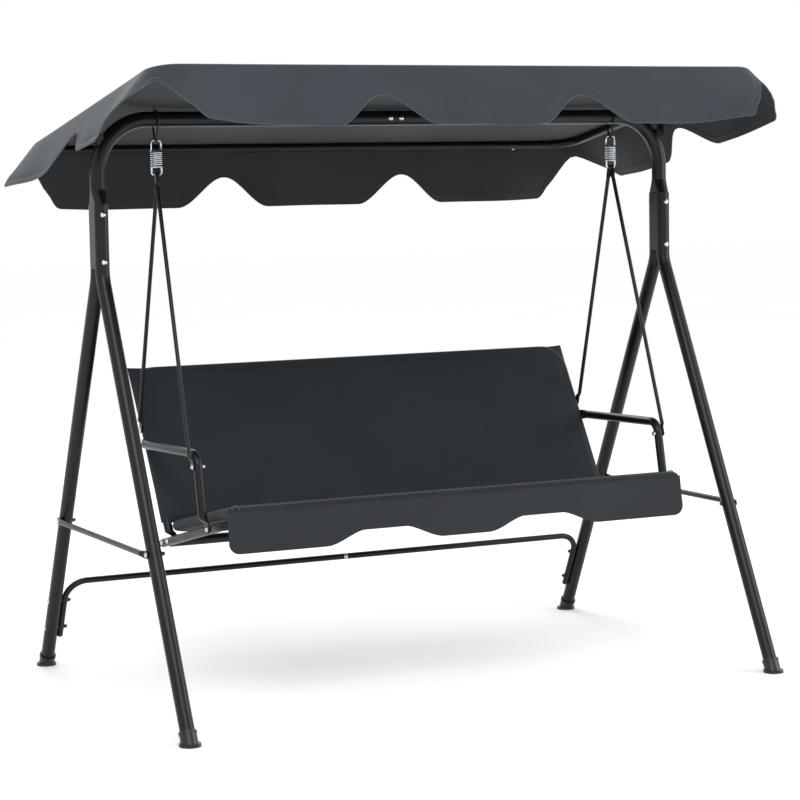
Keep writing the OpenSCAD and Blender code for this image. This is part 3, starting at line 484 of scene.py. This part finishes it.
# %% Skirt of the canopy
HEM = 16
ROLL_STEPS = 4
DROP_MARKS = [0.2, 0.45, 0.7]
HEM_MARKS = [-HEM - 3, -HEM, -HEM + 2.5, -3, 0]
STITCH = {4: -0.9, 5: 0.5, 6: 0.5}
FIRST_MARK = 4
CORNER_FADE = 150
SKIRT_WAVES = ((2.6, 71.0, 0.0), (1.8, 37.0, 1.3))
WAVE_POWER = 1.3

travel = 0.0
drops = []
for i, (x, y, facing, from_corner) in enumerate(outline):
    travel += math.dist(outline[i - 1][:2], (x, y)) if i else 0.0
    nx, ny = outward(facing)
    end_flare = FRONT_FLARE if ny < 0 else REAR_FLARE
    corner = (from_corner + ROOF_CORNER * math.pi / 4) / CORNER_FADE
    flare = math.radians(SIDE_FLARE + (end_flare - SIDE_FLARE) * ny * ny
                         + CORNER_FLARE * math.exp(-corner * corner))
    turn = math.pi / 2 - flare
    trim = ROLL * math.tan(turn / 2)
    bends = [turn * k / ROLL_STEPS for k in range(ROLL_STEPS + 1)]
    profile = [(-trim + ROLL * math.sin(b), -ROLL * (1 - math.cos(b))) for b in bends]
    straight = skirt_length(x, y, facing, from_corner) - trim
    marks = [m * straight for m in DROP_MARKS] + [straight + m for m in HEM_MARKS]
    marks = sorted(max(m, FIRST_MARK + k) for k, m in enumerate(marks))
    for k, far in enumerate(marks):
        reach = trim + far
        lift = waves(travel, SKIRT_WAVES) * (far / SKIRT_LEN) ** WAVE_POWER
        lift += STITCH.get(k, 0.0)
        profile.append((reach * math.sin(flare) + lift * math.cos(flare),
                        -reach * math.cos(flare) + lift * math.sin(flare)))
    drops.append([((x + nx * out, y + ny * out, ROOF_TOP + down),
                   (travel * MM, (trim + down) * MM)) for out, down in profile])
print("points down the skirt:", len(drops[0]))

# %% [markdown]
# Rings and profiles have the same number of points all round, so they join into one mesh with
# four-sided faces. Its texture coordinates are metres along the cloth, for the weave.

# %% Canopy sheet
count = len(outline)
rows = rings + [[drop[k] for drop in drops] for k in range(len(drops[0]))]
cloth_points = [(0, MID_Y, ROOF_TOP - roof_sag(0, MID_Y))] + [p for row in rows for p, _ in row]
cloth_uv = [(0.0, MID_Y * MM)] + [uv for row in rows for _, uv in row]
cloth_faces = [(0, 1 + i, 1 + (i + 1) % count) for i in range(count)]
for r in range(len(rows) - 1):
    a, b = 1 + r * count, 1 + (r + 1) * count
    for i in range(count):
        k = (i + 1) % count
        cloth_faces.append((a + i, b + i, b + k, a + k))
canopy_cloth = make_piece("canopy_cloth", cloth_points, cloth_faces,
                          [canopy_outside, canopy_lining], roof_place)
layer = canopy_cloth.data.uv_layers.new(name="threads")
for loop in canopy_cloth.data.loops:
    layer.data[loop.index].uv = cloth_uv[loop.vertex_index]
print("canopy cloth faces:", len(cloth_faces))

# %% [markdown]
# Cloth has two sides. A Solidify modifier gives the sheet its thickness and puts the lining on
# the inside, and it is applied so that the sheet is a plain closed mesh.

# %% Thickness of the canopy
CLOTH_T = 1.2


def thicken(piece, thickness_mm, inside=0):
    """Apply a thickness to a sheet; inside is how many finishes on its inner side is."""
    bm = bmesh.new()
    bm.from_mesh(piece.data)
    bmesh.ops.recalc_face_normals(bm, faces=bm.faces)
    bm.to_mesh(piece.data)
    bm.free()
    solid = piece.modifiers.new("Thickness", "SOLIDIFY")
    solid.thickness = thickness_mm * MM
    solid.offset = -1
    solid.material_offset = inside
    freeze(piece)


def freeze(piece):
    """Apply a piece's modifiers to its mesh."""
    shape = piece.evaluated_get(bpy.context.evaluated_depsgraph_get())
    mesh = bpy.data.meshes.new_from_object(shape)
    piece.modifiers.clear()
    piece.data = mesh


thicken(canopy_cloth, CLOTH_T, inside=1)
print("canopy faces with thickness:", len(canopy_cloth.data.polygons))

# %% [markdown]
# The skirt's edge is bound with a folded tape, a slightly paler line that catches the light. It
# is a thin wire swept round the same curve, so it follows every lobe.

# %% Edge binding of the canopy
BINDING_R = 1.5
TAPE_SIDES = 6
edge = [drop[-1][0] for drop in drops]
binding_points, binding_faces = sweep(edge, BINDING_R, TAPE_SIDES, closed=True)
canopy_binding = make_piece("canopy_binding", binding_points, binding_faces, [sewing_thread],
                            roof_place)
for piece in (canopy_cloth, canopy_binding):
    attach(piece, "canopy")
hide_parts("canopy_top", "valance_front", "valance_rear", "valance_left",
            "valance_right")
binding_length = sum(math.dist(edge[i - 1], edge[i]) for i in range(len(edge))) * MM
print("binding length in metres:", round(binding_length, 2))

# %% [markdown]
# ## Filled cloth
# The seat is a thin padded sling and the back a sleeve that is pulled over a tube loop. Each
# starts as two height fields that share one outline, an upper and a lower face. A cloth
# simulation then blows air into the cover, as filling does, while its edge seam is pinned, so the
# cloth finds its own slight wrinkles. How far a point may move is capped, which keeps the pad in
# its place.

# %% Helpers for filled cloth
def spread(low, high, edges, step):
    """Places from low to high that crowd towards both ends."""
    inner = [low + edges[-1], high - edges[-1]]
    steps = max(2, round((inner[1] - inner[0]) / step))
    middle = [inner[0] + (inner[1] - inner[0]) * i / steps for i in range(1, steps)]
    return [low + e for e in edges] + middle + [high - e for e in reversed(edges)]


def pillow(name, us, vs, at, upper, lower, finish, place):
    """Closed cover: at(u, v) places the grid, upper and lower give the two heights."""
    nu, nv = len(us), len(vs)
    points, index = [], {}
    for side, height in (("up", upper), ("low", lower)):
        for j, v in enumerate(vs):
            for i, u in enumerate(us):
                rim = i in (0, nu - 1) or j in (0, nv - 1)
                if side == "low" and rim:
                    index["low", i, j] = index["up", i, j]
                    continue
                x, y = at(u, v)
                z = (upper(u, v) + lower(u, v)) / 2 if rim else height(u, v)
                index[side, i, j] = len(points)
                points.append((x, y, z))
    faces = []
    for j in range(nv - 1):
        for i in range(nu - 1):
            square = [(i, j), (i + 1, j), (i + 1, j + 1), (i, j + 1)]
            faces.append(tuple(index["up", a, b] for a, b in square))
            faces.append(tuple(index["low", a, b] for a, b in square[:1] + square[:0:-1]))
    piece = make_piece(name, points, faces, [finish], place)
    seam = piece.vertex_groups.new(name="seam")
    rim = {index["up", i, j] for i in range(nu) for j in range(nv)
           if i in (0, nu - 1) or j in (0, nv - 1)}
    seam.add(sorted(rim), 1.0, "REPLACE")
    return piece


AIR_PRESSURE = 4.0
AIR_FRAMES = 20
SLIDE_CAP = 2


def blow_up(piece, out_cap, in_cap):
    """Cloth simulation with air inside; a point moves out or in by at most the caps, in mm."""
    mesh = piece.data
    start = [v.co.copy() for v in mesh.vertices]
    ways = [v.normal.copy() for v in mesh.vertices]
    filling = piece.modifiers.new("Filling", "CLOTH")
    cloth = filling.settings
    cloth.quality = 4
    cloth.mass = 0.2
    cloth.tension_stiffness = 12
    cloth.compression_stiffness = 12
    cloth.shear_stiffness = 4
    cloth.bending_stiffness = 0.4
    cloth.use_pressure = True
    cloth.uniform_pressure_force = AIR_PRESSURE
    cloth.effector_weights.gravity = 0
    cloth.vertex_group_mass = "seam"
    filling.collision_settings.use_collision = False
    filling.point_cache.frame_start = 1
    filling.point_cache.frame_end = AIR_FRAMES
    for step in range(1, AIR_FRAMES + 1):
        bpy.context.scene.frame_set(step)
    shape = piece.evaluated_get(bpy.context.evaluated_depsgraph_get())
    moved = [v.co.copy() for v in shape.data.vertices]
    piece.modifiers.remove(filling)
    bpy.context.scene.frame_set(1)
    for vertex, old, way, new in zip(mesh.vertices, start, ways, moved):
        shift = new - old
        out = max(-in_cap * MM, min(out_cap * MM, shift.dot(way)))
        along = shift - way * shift.dot(way)
        if along.length > SLIDE_CAP * MM:
            along *= SLIDE_CAP * MM / along.length
        vertex.co = old + way * out + along
    mesh.update()
    return max((m - s).length for m, s in zip(moved, start)) / MM


def refine(piece):
    """Subdivide a piece smoothly, once, and keep the result."""
    piece.modifiers.new("Smooth", "SUBSURF").levels = 1
    freeze(piece)


print("pillow helpers ready")

# %% [markdown]
# ## Seat
# The seat is a padded sling about 30 mm thick that lies on the seat tubes. It is crowned: thickest
# in the middle, with rounded edges, and its sides and front pull in between the corners, which
# stay out as small ears where the seams meet.

# %% Seat cushion
SEAT_TILT = math.radians(11.5)
SEAT_REAR = 14
SEAT_FRONT = 417
SEAT_HALF = 620
SEAT_T = 32
SEAT_ROLL = 15
SEAT_MID, SEAT_REACH = 218, 199
REAR_FADE, REAR_NARROW = 34, 10
SIDE_PULL = 3
BOW, BOW_START = 2.5, 300
TOP_ROOM, FOOT_ROOM = 4.5, 1.5
CROWN = 2.5
PAD_RIPPLE = 0.5
EDGE_STEPS = [0, 1.2, 3.5, 7, 11, 15, 21, 30]
GRID_ALONG, GRID_ACROSS = 14, 12
seat_place = axes((-1, 0, 0), (0, -math.cos(SEAT_TILT), math.sin(SEAT_TILT)),
                  (0, math.sin(SEAT_TILT), math.cos(SEAT_TILT)), (0, 55, 430))


def seat_at(u, v):
    """Outline: narrower at the rear, between the back tubes, and pulled in along its sides."""
    back = 1 - ease((v - SEAT_REAR) / REAR_FADE)
    pull = SIDE_PULL * math.sin(math.pi * (v - SEAT_REAR) / (SEAT_FRONT - SEAT_REAR))
    bow = BOW * (1 - (u / SEAT_HALF) ** 8) * ease((v - BOW_START) / (SEAT_FRONT - BOW_START))
    return u * (1 - (back * REAR_NARROW + pull) / SEAT_HALF), v - bow


def seat_edge(u, v):
    """0 at the seam and 1 where the pad has its full thickness."""
    near = min(SEAT_HALF - abs(u), v - SEAT_REAR, SEAT_FRONT - v)
    t = min(near / SEAT_ROLL, 1.0)
    return max(0.0, 1 - (1 - t) ** 3) ** (1 / 3)


def seat_crown(u, v):
    """Slow rise of the pad towards its middle."""
    across = 1 - abs(u / SEAT_HALF) ** 4
    along = 1 - abs((v - SEAT_MID) / SEAT_REACH) ** 3
    return max(0.0, across) * max(0.0, along)


def seat_upper(u, v):
    """Height of the upper face, with faint ripples."""
    crown = seat_crown(u, v)
    ripple = PAD_RIPPLE * math.sin(u / 47 + v / 160) * math.sin(v / 61) * crown
    return -SEAT_T / 2 + (SEAT_T / 2 - TOP_ROOM) * seat_edge(u, v) + CROWN * crown + ripple


def seat_lower(u, v):
    """Height of the lower face, which lies on the tubes."""
    return -SEAT_T / 2 - (SEAT_T / 2 - FOOT_ROOM) * seat_edge(u, v)


seat_cushion = pillow("seat_cushion", spread(-SEAT_HALF, SEAT_HALF, EDGE_STEPS, GRID_ALONG),
                      spread(SEAT_REAR, SEAT_FRONT, EDGE_STEPS, GRID_ACROSS),
                      seat_at, seat_upper, seat_lower, seat_cloth, seat_place)
swell = blow_up(seat_cushion, 4.0, 0.6)
print("seat cushion moved by up to", round(swell, 1), "mm before the cap")

# %% [markdown]
# Sewn seams come after the air. A seam pulls the cloth into a narrow valley with a small ridge
# beside it. Here one runs along the front edge, and one close to each side and to the rear edge.

# %% Seams of the seat
UPPER = 0.2  # a face whose normal rises less than this isn't pressed


def press_seam(piece, distance, depth, width):
    """Push a narrow valley into the upper face. distance(point in mm) is 0 on the seam."""
    for vertex in piece.data.vertices:
        if vertex.normal.z < UPPER:
            continue
        away = distance(vertex.co / MM)
        if abs(away) < 3 * width:
            valley = math.exp(-(away / width) ** 2)
            ridge = 0.35 * math.exp(-((abs(away) - 1.8 * width) / width) ** 2)
            vertex.co -= vertex.normal * ((valley - ridge) * depth * MM)
    piece.data.update()


refine(seat_cushion)
SEAM_IN, SIDE_SEAM_IN = 24, 26
SEAM_WIDTH = 2.4
press_seam(seat_cushion, lambda p: p.y - (SEAT_FRONT - SEAM_IN), 1.4, SEAM_WIDTH)
press_seam(seat_cushion, lambda p: abs(p.x) - (SEAT_HALF - SIDE_SEAM_IN), 1.0, SEAM_WIDTH)
press_seam(seat_cushion, lambda p: p.y - (SEAT_REAR + SEAM_IN), 1.0, SEAM_WIDTH)
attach(seat_cushion, "seat")
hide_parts("seat_pad")
print("seat cushion faces:", len(seat_cushion.data.polygons))

# %% [markdown]
# ## Back
# The back is a cloth sleeve pulled over a bent tube loop. Over the tube it is as thick as the
# tube, and between the two sides it is a shallow hollow. The cloth is cut square, so beyond the
# rounded corners of the loop it ends in two flat pointed ears, and the sides pull in between the
# corners.

# %% Back sleeve
BACK_LEAN = math.radians(31)
BACK_LOW = -6
BACK_TOP = 428
LOOP_TOP = 414.8
LOOP_X = 620
LOOP_BEND = 60
LOOP_COVER = 13.3
BACK_HALF = 636
BACK_PULL, BACK_DIP = 2.4, 5
FOOT_FADE = 14
back_place = axes((1, 0, 0), (0, math.sin(BACK_LEAN), math.cos(BACK_LEAN)),
                  (0, -math.cos(BACK_LEAN), math.sin(BACK_LEAN)), (0, 50, 430))


def from_loop(x, y):
    """Distance outward from the middle of the tube loop; negative inside it."""
    cx, cy = LOOP_X - LOOP_BEND, LOOP_TOP - LOOP_BEND
    dx, dy = abs(x) - cx, y - cy
    if dx > 0 and dy > 0:
        return math.hypot(dx, dy) - LOOP_BEND
    return max(dx, dy) - LOOP_BEND


def back_at(u, v):
    """Sides pull in between the corners, and the top edge dips a little between its ears."""
    share = (v - BACK_LOW) / (BACK_TOP - BACK_LOW)
    pull = BACK_PULL * math.sin(math.pi * share) ** 0.7
    dip = BACK_DIP * (1 - abs(u / BACK_HALF) ** 14) * share ** 6
    return u * (1 - pull / BACK_HALF), v - dip


def back_face(u, v, fade, hollow, least):
    """Half thickness: full over the tube, thinner at the foot, hollow between the tubes."""
    x, y = back_at(u, v)
    away = from_loop(x, y)
    cover = math.sqrt(max(0.0, LOOP_COVER ** 2 - max(away, 0.0) ** 2))
    inside = ease(-away / fade)
    foot = 0.55 + 0.45 * ease((v - BACK_LOW) / FOOT_FADE)
    return max(cover * foot - hollow * inside, least), inside


def back_upper(u, v):
    """Height of the front face, with faint ripples."""
    height, inside = back_face(u, v, fade=230, hollow=5, least=1.6)
    return height + PAD_RIPPLE * math.sin(u / 53) * math.sin(v / 77 + u / 190) * inside


def back_lower(u, v):
    """Height of the rear face."""
    return -back_face(u, v, fade=90, hollow=7, least=1.2)[0]


BACK_EDGES = [0, 1.0, 2.5, 4.5, 7, 10, 14, 18, 23, 29, 36, 46, 58, 72]
back_cushion = pillow("back_cushion", spread(-BACK_HALF, BACK_HALF, BACK_EDGES, 15),
                      spread(BACK_LOW, BACK_TOP, BACK_EDGES, 13), back_at, back_upper, back_lower,
                      seat_cloth, back_place)
swell = blow_up(back_cushion, 2.5, 0.1)
refine(back_cushion)
for seam_in in (17, 27):
    press_seam(back_cushion, lambda p: from_loop(p.x, p.y) + seam_in, 0.7, 2.2)
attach(back_cushion, "seat")
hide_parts("back_pad")
print("back sleeve faces:", len(back_cushion.data.polygons))
print("it moved by up to", round(swell, 1), "mm before the cap")

# %% [markdown]
# ## Seat skirt
# A scalloped strip hides the front tube. It hangs from the front seam of the seat, so it is a
# separate sheet that leans by 8 degrees and waves a little at its foot. Its lower edge is one
# smooth curve with two shallow notches and rounded ends, and a hem gives it a firm edge.

# %% Skirt in front of the seat
SKIRT_HALF = 622
SKIRT_DROP = 99
SKIRT_NOTCH_X = 217
SKIRT_NOTCH = 33
SKIRT_LEAN = math.radians(8)
SKIRT_END_R = 26
NOTCH_REACH, NOTCH_RISE = 158, 112
SKIRT_IN_Y, SKIRT_IN_Z = 1.5, 0.5
skirt_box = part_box("seat_valance")
skirt_top_y = (skirt_box[0][1] / MM + SKIRT_IN_Y) + SKIRT_DROP * math.sin(SKIRT_LEAN)
skirt_place = axes((1, 0, 0), (0, math.sin(SKIRT_LEAN), math.cos(SKIRT_LEAN)),
                   (0, -math.cos(SKIRT_LEAN), math.sin(SKIRT_LEAN)),
                   (0, skirt_top_y, skirt_box[1][2] / MM - SKIRT_IN_Z))


def skirt_drop(x):
    """Length of the seat's skirt at one place along it."""
    notch = ease((NOTCH_REACH - abs(abs(x) - SKIRT_NOTCH_X)) / NOTCH_RISE)
    end = SKIRT_HALF - abs(x)
    corner = 0.0
    if end < SKIRT_END_R:
        corner = SKIRT_END_R - math.sqrt(SKIRT_END_R ** 2 - (SKIRT_END_R - end) ** 2)
    return SKIRT_DROP - SKIRT_NOTCH * notch - corner


SKIRT_MARKS = [0, 0.12, 0.3, 0.5, 0.7]
SKIRT_HEM_MARKS = [14, 12, 10, 2, 0]
SKIRT_STITCH = {6: -0.6, 7: 0.3, 8: 0.3}
SEAT_SKIRT_WAVES = ((2.2, 83, 0.6), (1.1, 41, 0.0))
SKIRT_T = 1.6
HEM_R = 1.1
skirt_xs = spread(-SKIRT_HALF, SKIRT_HALF, [0, 0.6, 2, 4.5, 8, 12, 18, 26], 9)
skirt_points, skirt_faces, skirt_edge = [], [], []
for x in skirt_xs:
    drop = skirt_drop(x)
    column = [m * drop for m in SKIRT_MARKS] + [drop - m for m in SKIRT_HEM_MARKS]
    for k, far in enumerate(column):
        out = waves(x, SEAT_SKIRT_WAVES) * (far / SKIRT_DROP) ** 1.4 + SKIRT_STITCH.get(k, 0.0)
        skirt_points.append((x, -far, out))
    skirt_edge.append(skirt_points[-1])
per = len(SKIRT_MARKS) + len(SKIRT_HEM_MARKS)
for i in range(len(skirt_xs) - 1):
    for k in range(per - 1):
        a, b = i * per + k, (i + 1) * per + k
        skirt_faces.append((a, a + 1, b + 1, b))
seat_skirt = make_piece("seat_skirt", skirt_points, skirt_faces, [skirt_cloth], skirt_place)
thicken(seat_skirt, SKIRT_T)
hem_points, hem_faces = sweep([(p[0], p[1], p[2] - SKIRT_T / 2) for p in skirt_edge], HEM_R,
                              TAPE_SIDES)
skirt_hem = make_piece("skirt_hem", hem_points, hem_faces, [skirt_cloth], skirt_place)
for piece in (seat_skirt, skirt_hem):
    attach(piece, "seat")
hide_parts("seat_valance")
print("seat skirt faces:", len(seat_skirt.data.polygons))

# %% [markdown]
# ## Springs
# Each side hangs from one coil spring with a wire hook at its top. A coil is a helix: a point that
# goes round and down at a steady rate. The wire is one sweep along hook, bend and coil.

# %% Coil springs
HANG_X = 641
WIRE_R = 2.25
COIL_R = 12.75
COIL_TURNS = 7
COIL_STEPS = 30
SWING_Z = 1368
COIL_TOP = 1347
COIL_FOOT = 1309.1
HOOK_BEND = 6
ENTRY = 5
ENTRY_STEPS, ENTRY_TURN = 8, 80
WIRE_SIDES = 10


def quarter(centre_x, centre_z, radius, start, end, steps):
    """Arc in the plane of X and Z."""
    turns = [math.radians(start + (end - start) * i / steps) for i in range(steps + 1)]
    return [(centre_x + radius * math.cos(t), 0.0, centre_z + radius * math.sin(t)) for t in turns]


def spring_path():
    """Middle line of one spring: hook, bend into the coil, then the coil."""
    side = COIL_R - HOOK_BEND
    path = [(-COIL_R, 0.0, COIL_TOP - 1)]
    path += quarter(-side, SWING_Z - HOOK_BEND, HOOK_BEND, 180, 90, 8)
    path += quarter(side, SWING_Z - HOOK_BEND, HOOK_BEND, 90, 0, 8)
    for i in range(ENTRY_STEPS):
        a = math.radians(ENTRY_TURN * i / (ENTRY_STEPS - 1))
        q = ENTRY * (1 - math.cos(a)) / COIL_R
        path.append((COIL_R * math.cos(q), COIL_R * math.sin(q), COIL_TOP - ENTRY * math.sin(a)))
    total = COIL_TURNS * COIL_STEPS
    first = ENTRY / COIL_R
    for i in range(total + 1):
        q = first + math.tau * i / COIL_STEPS
        z = COIL_TOP - ENTRY + (COIL_FOOT - COIL_TOP + ENTRY) * i / total
        path.append((COIL_R * math.cos(q), COIL_R * math.sin(q), z))
    return path


for side, sign in (("left", -1), ("right", 1)):
    points, faces = sweep([(HANG_X + x, y, z) for x, y, z in spring_path()], WIRE_R, WIRE_SIDES)
    points = [(sign * x, y, z) for x, y, z in points]
    faces = [tuple(reversed(f)) for f in faces] if sign < 0 else faces
    coil = make_piece("coil_" + side, points, faces, [spring_zinc])
    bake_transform(coil)
    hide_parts("spring_" + side)
    print("made", coil.name, len(faces), "faces")

# %% [markdown]
# ## Small details of the seat
# Sewn loops tie the seat cloth to its tubes at the front corners. Each is a short round tape bent
# into a ring, standing out of the seam beside the armrest post.

# %% Tie loops
LOOP_R = 7
LOOP_TAPE_R = 2.0
LOOP_STEPS = 24
LOOP_WIDE, LOOP_DEEP = 1.3, 0.35
LOOP_AT = (SEAT_HALF - 22, SEAT_FRONT - 3, -9)
for side, sign in (("left", 1), ("right", -1)):
    ring = []
    for i in range(LOOP_STEPS):
        a = math.tau * i / LOOP_STEPS
        ring.append((sign * LOOP_AT[0] + LOOP_R * math.cos(a) * LOOP_WIDE,
                     LOOP_AT[1] + LOOP_DEEP * LOOP_R * math.sin(a),
                     LOOP_AT[2] + LOOP_R * math.sin(a)))
    points, faces = sweep(ring, LOOP_TAPE_R, 8, closed=True)
    loop = make_piece("tie_loop_" + side, points, faces, [sewing_thread], seat_place)
    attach(loop, "seat")
print("made the tie loops")

# %% [markdown]
# ## Floor, light and camera
# A pale floor and a bright even sky suit a catalogue view: dark tubes read clearly and get long
# soft highlights. One broad lamp from the front and above shapes the cloth, a weaker one lifts the
# far side, and one behind draws the top edges.

# %% Floor and lights
FLOOR_HALF = 30000
TONE_MM = 900
LAMP_TARGET = Vector((0, 0, 0.8))
floor_points = [(x * FLOOR_HALF, y * FLOOR_HALF, 0)
                for x, y in ((-1, -1), (1, -1), (1, 1), (-1, 1))]
pale_floor, tree, shader = start_finish("pale_studio_floor", Roughness=0.9)
place = add(tree, "TexCoord", {})
tone = add(tree, "TexNoise", {"Scale": per_metre(TONE_MM)}, {"Vector": place.outputs["Object"]})
tint = add(tree, "Mix", {"data_type": "RGBA", 6: linear("#FDFDFD"), 7: linear("#FFFFFF")},
           {0: tone.outputs["Fac"]})
tree.links.new(tint.outputs[2], shader.inputs["Base Color"])
floor = make_piece("studio_floor", floor_points, [(0, 1, 2, 3)], [pale_floor], smooth=False)

sky = bpy.data.worlds.new("soft_sky")
bpy.context.scene.world = sky
sky.use_nodes = True
sky.node_tree.nodes["Background"].inputs["Color"].default_value = linear("#FFFFFF")
sky.node_tree.nodes["Background"].inputs["Strength"].default_value = 1.0
LAMPS = [("key", (-2.2, -3.8, 4.2), 2.6, 105), ("fill", (3.8, -2.6, 2.0), 2.2, 60),
         ("rear", (0.5, 4.2, 3.6), 2.6, 70)]
for name, spot, size, power in LAMPS:
    light = bpy.data.lights.new(name, "AREA")
    light.size = size
    light.energy = power
    lamp = bpy.data.objects.new(name, light)
    lamp.location = spot
    lamp.rotation_euler = (LAMP_TARGET - Vector(spot)).to_track_quat("-Z", "Y").to_euler()
    bpy.context.scene.collection.objects.link(lamp)
bpy.context.scene.view_settings.view_transform = "Standard"
print("lamps:", len(LAMPS))

# %% [markdown]
# The camera stands about 6 m away, left of the front and just above the eye level of a seated
# person. A long lens keeps the verticals nearly parallel.

# %% Camera
AZIMUTH = math.radians(-25.96)
ELEVATION = math.radians(5.32)
ROLL_ANGLE = math.radians(-0.99)
CAMERA_AT = (-2682, -5521, 1271)
lens = bpy.data.cameras.new("camera")
lens.sensor_width = 36
lens.lens = 108.0
lens.clip_end = 200
camera = bpy.data.objects.new("camera", lens)
bpy.context.scene.collection.objects.link(camera)
back = Vector((math.sin(AZIMUTH) * math.cos(ELEVATION),
               -math.cos(AZIMUTH) * math.cos(ELEVATION), math.sin(ELEVATION)))
right = Vector((math.cos(AZIMUTH), math.sin(AZIMUTH), 0))
up = back.cross(right)
turned_right = math.cos(ROLL_ANGLE) * right + math.sin(ROLL_ANGLE) * up
turned_up = -math.sin(ROLL_ANGLE) * right + math.cos(ROLL_ANGLE) * up
camera.matrix_world = axes(turned_right, turned_up, back, CAMERA_AT)
bpy.context.scene.camera = camera
print("camera at", [round(v, 2) for v in camera.location])
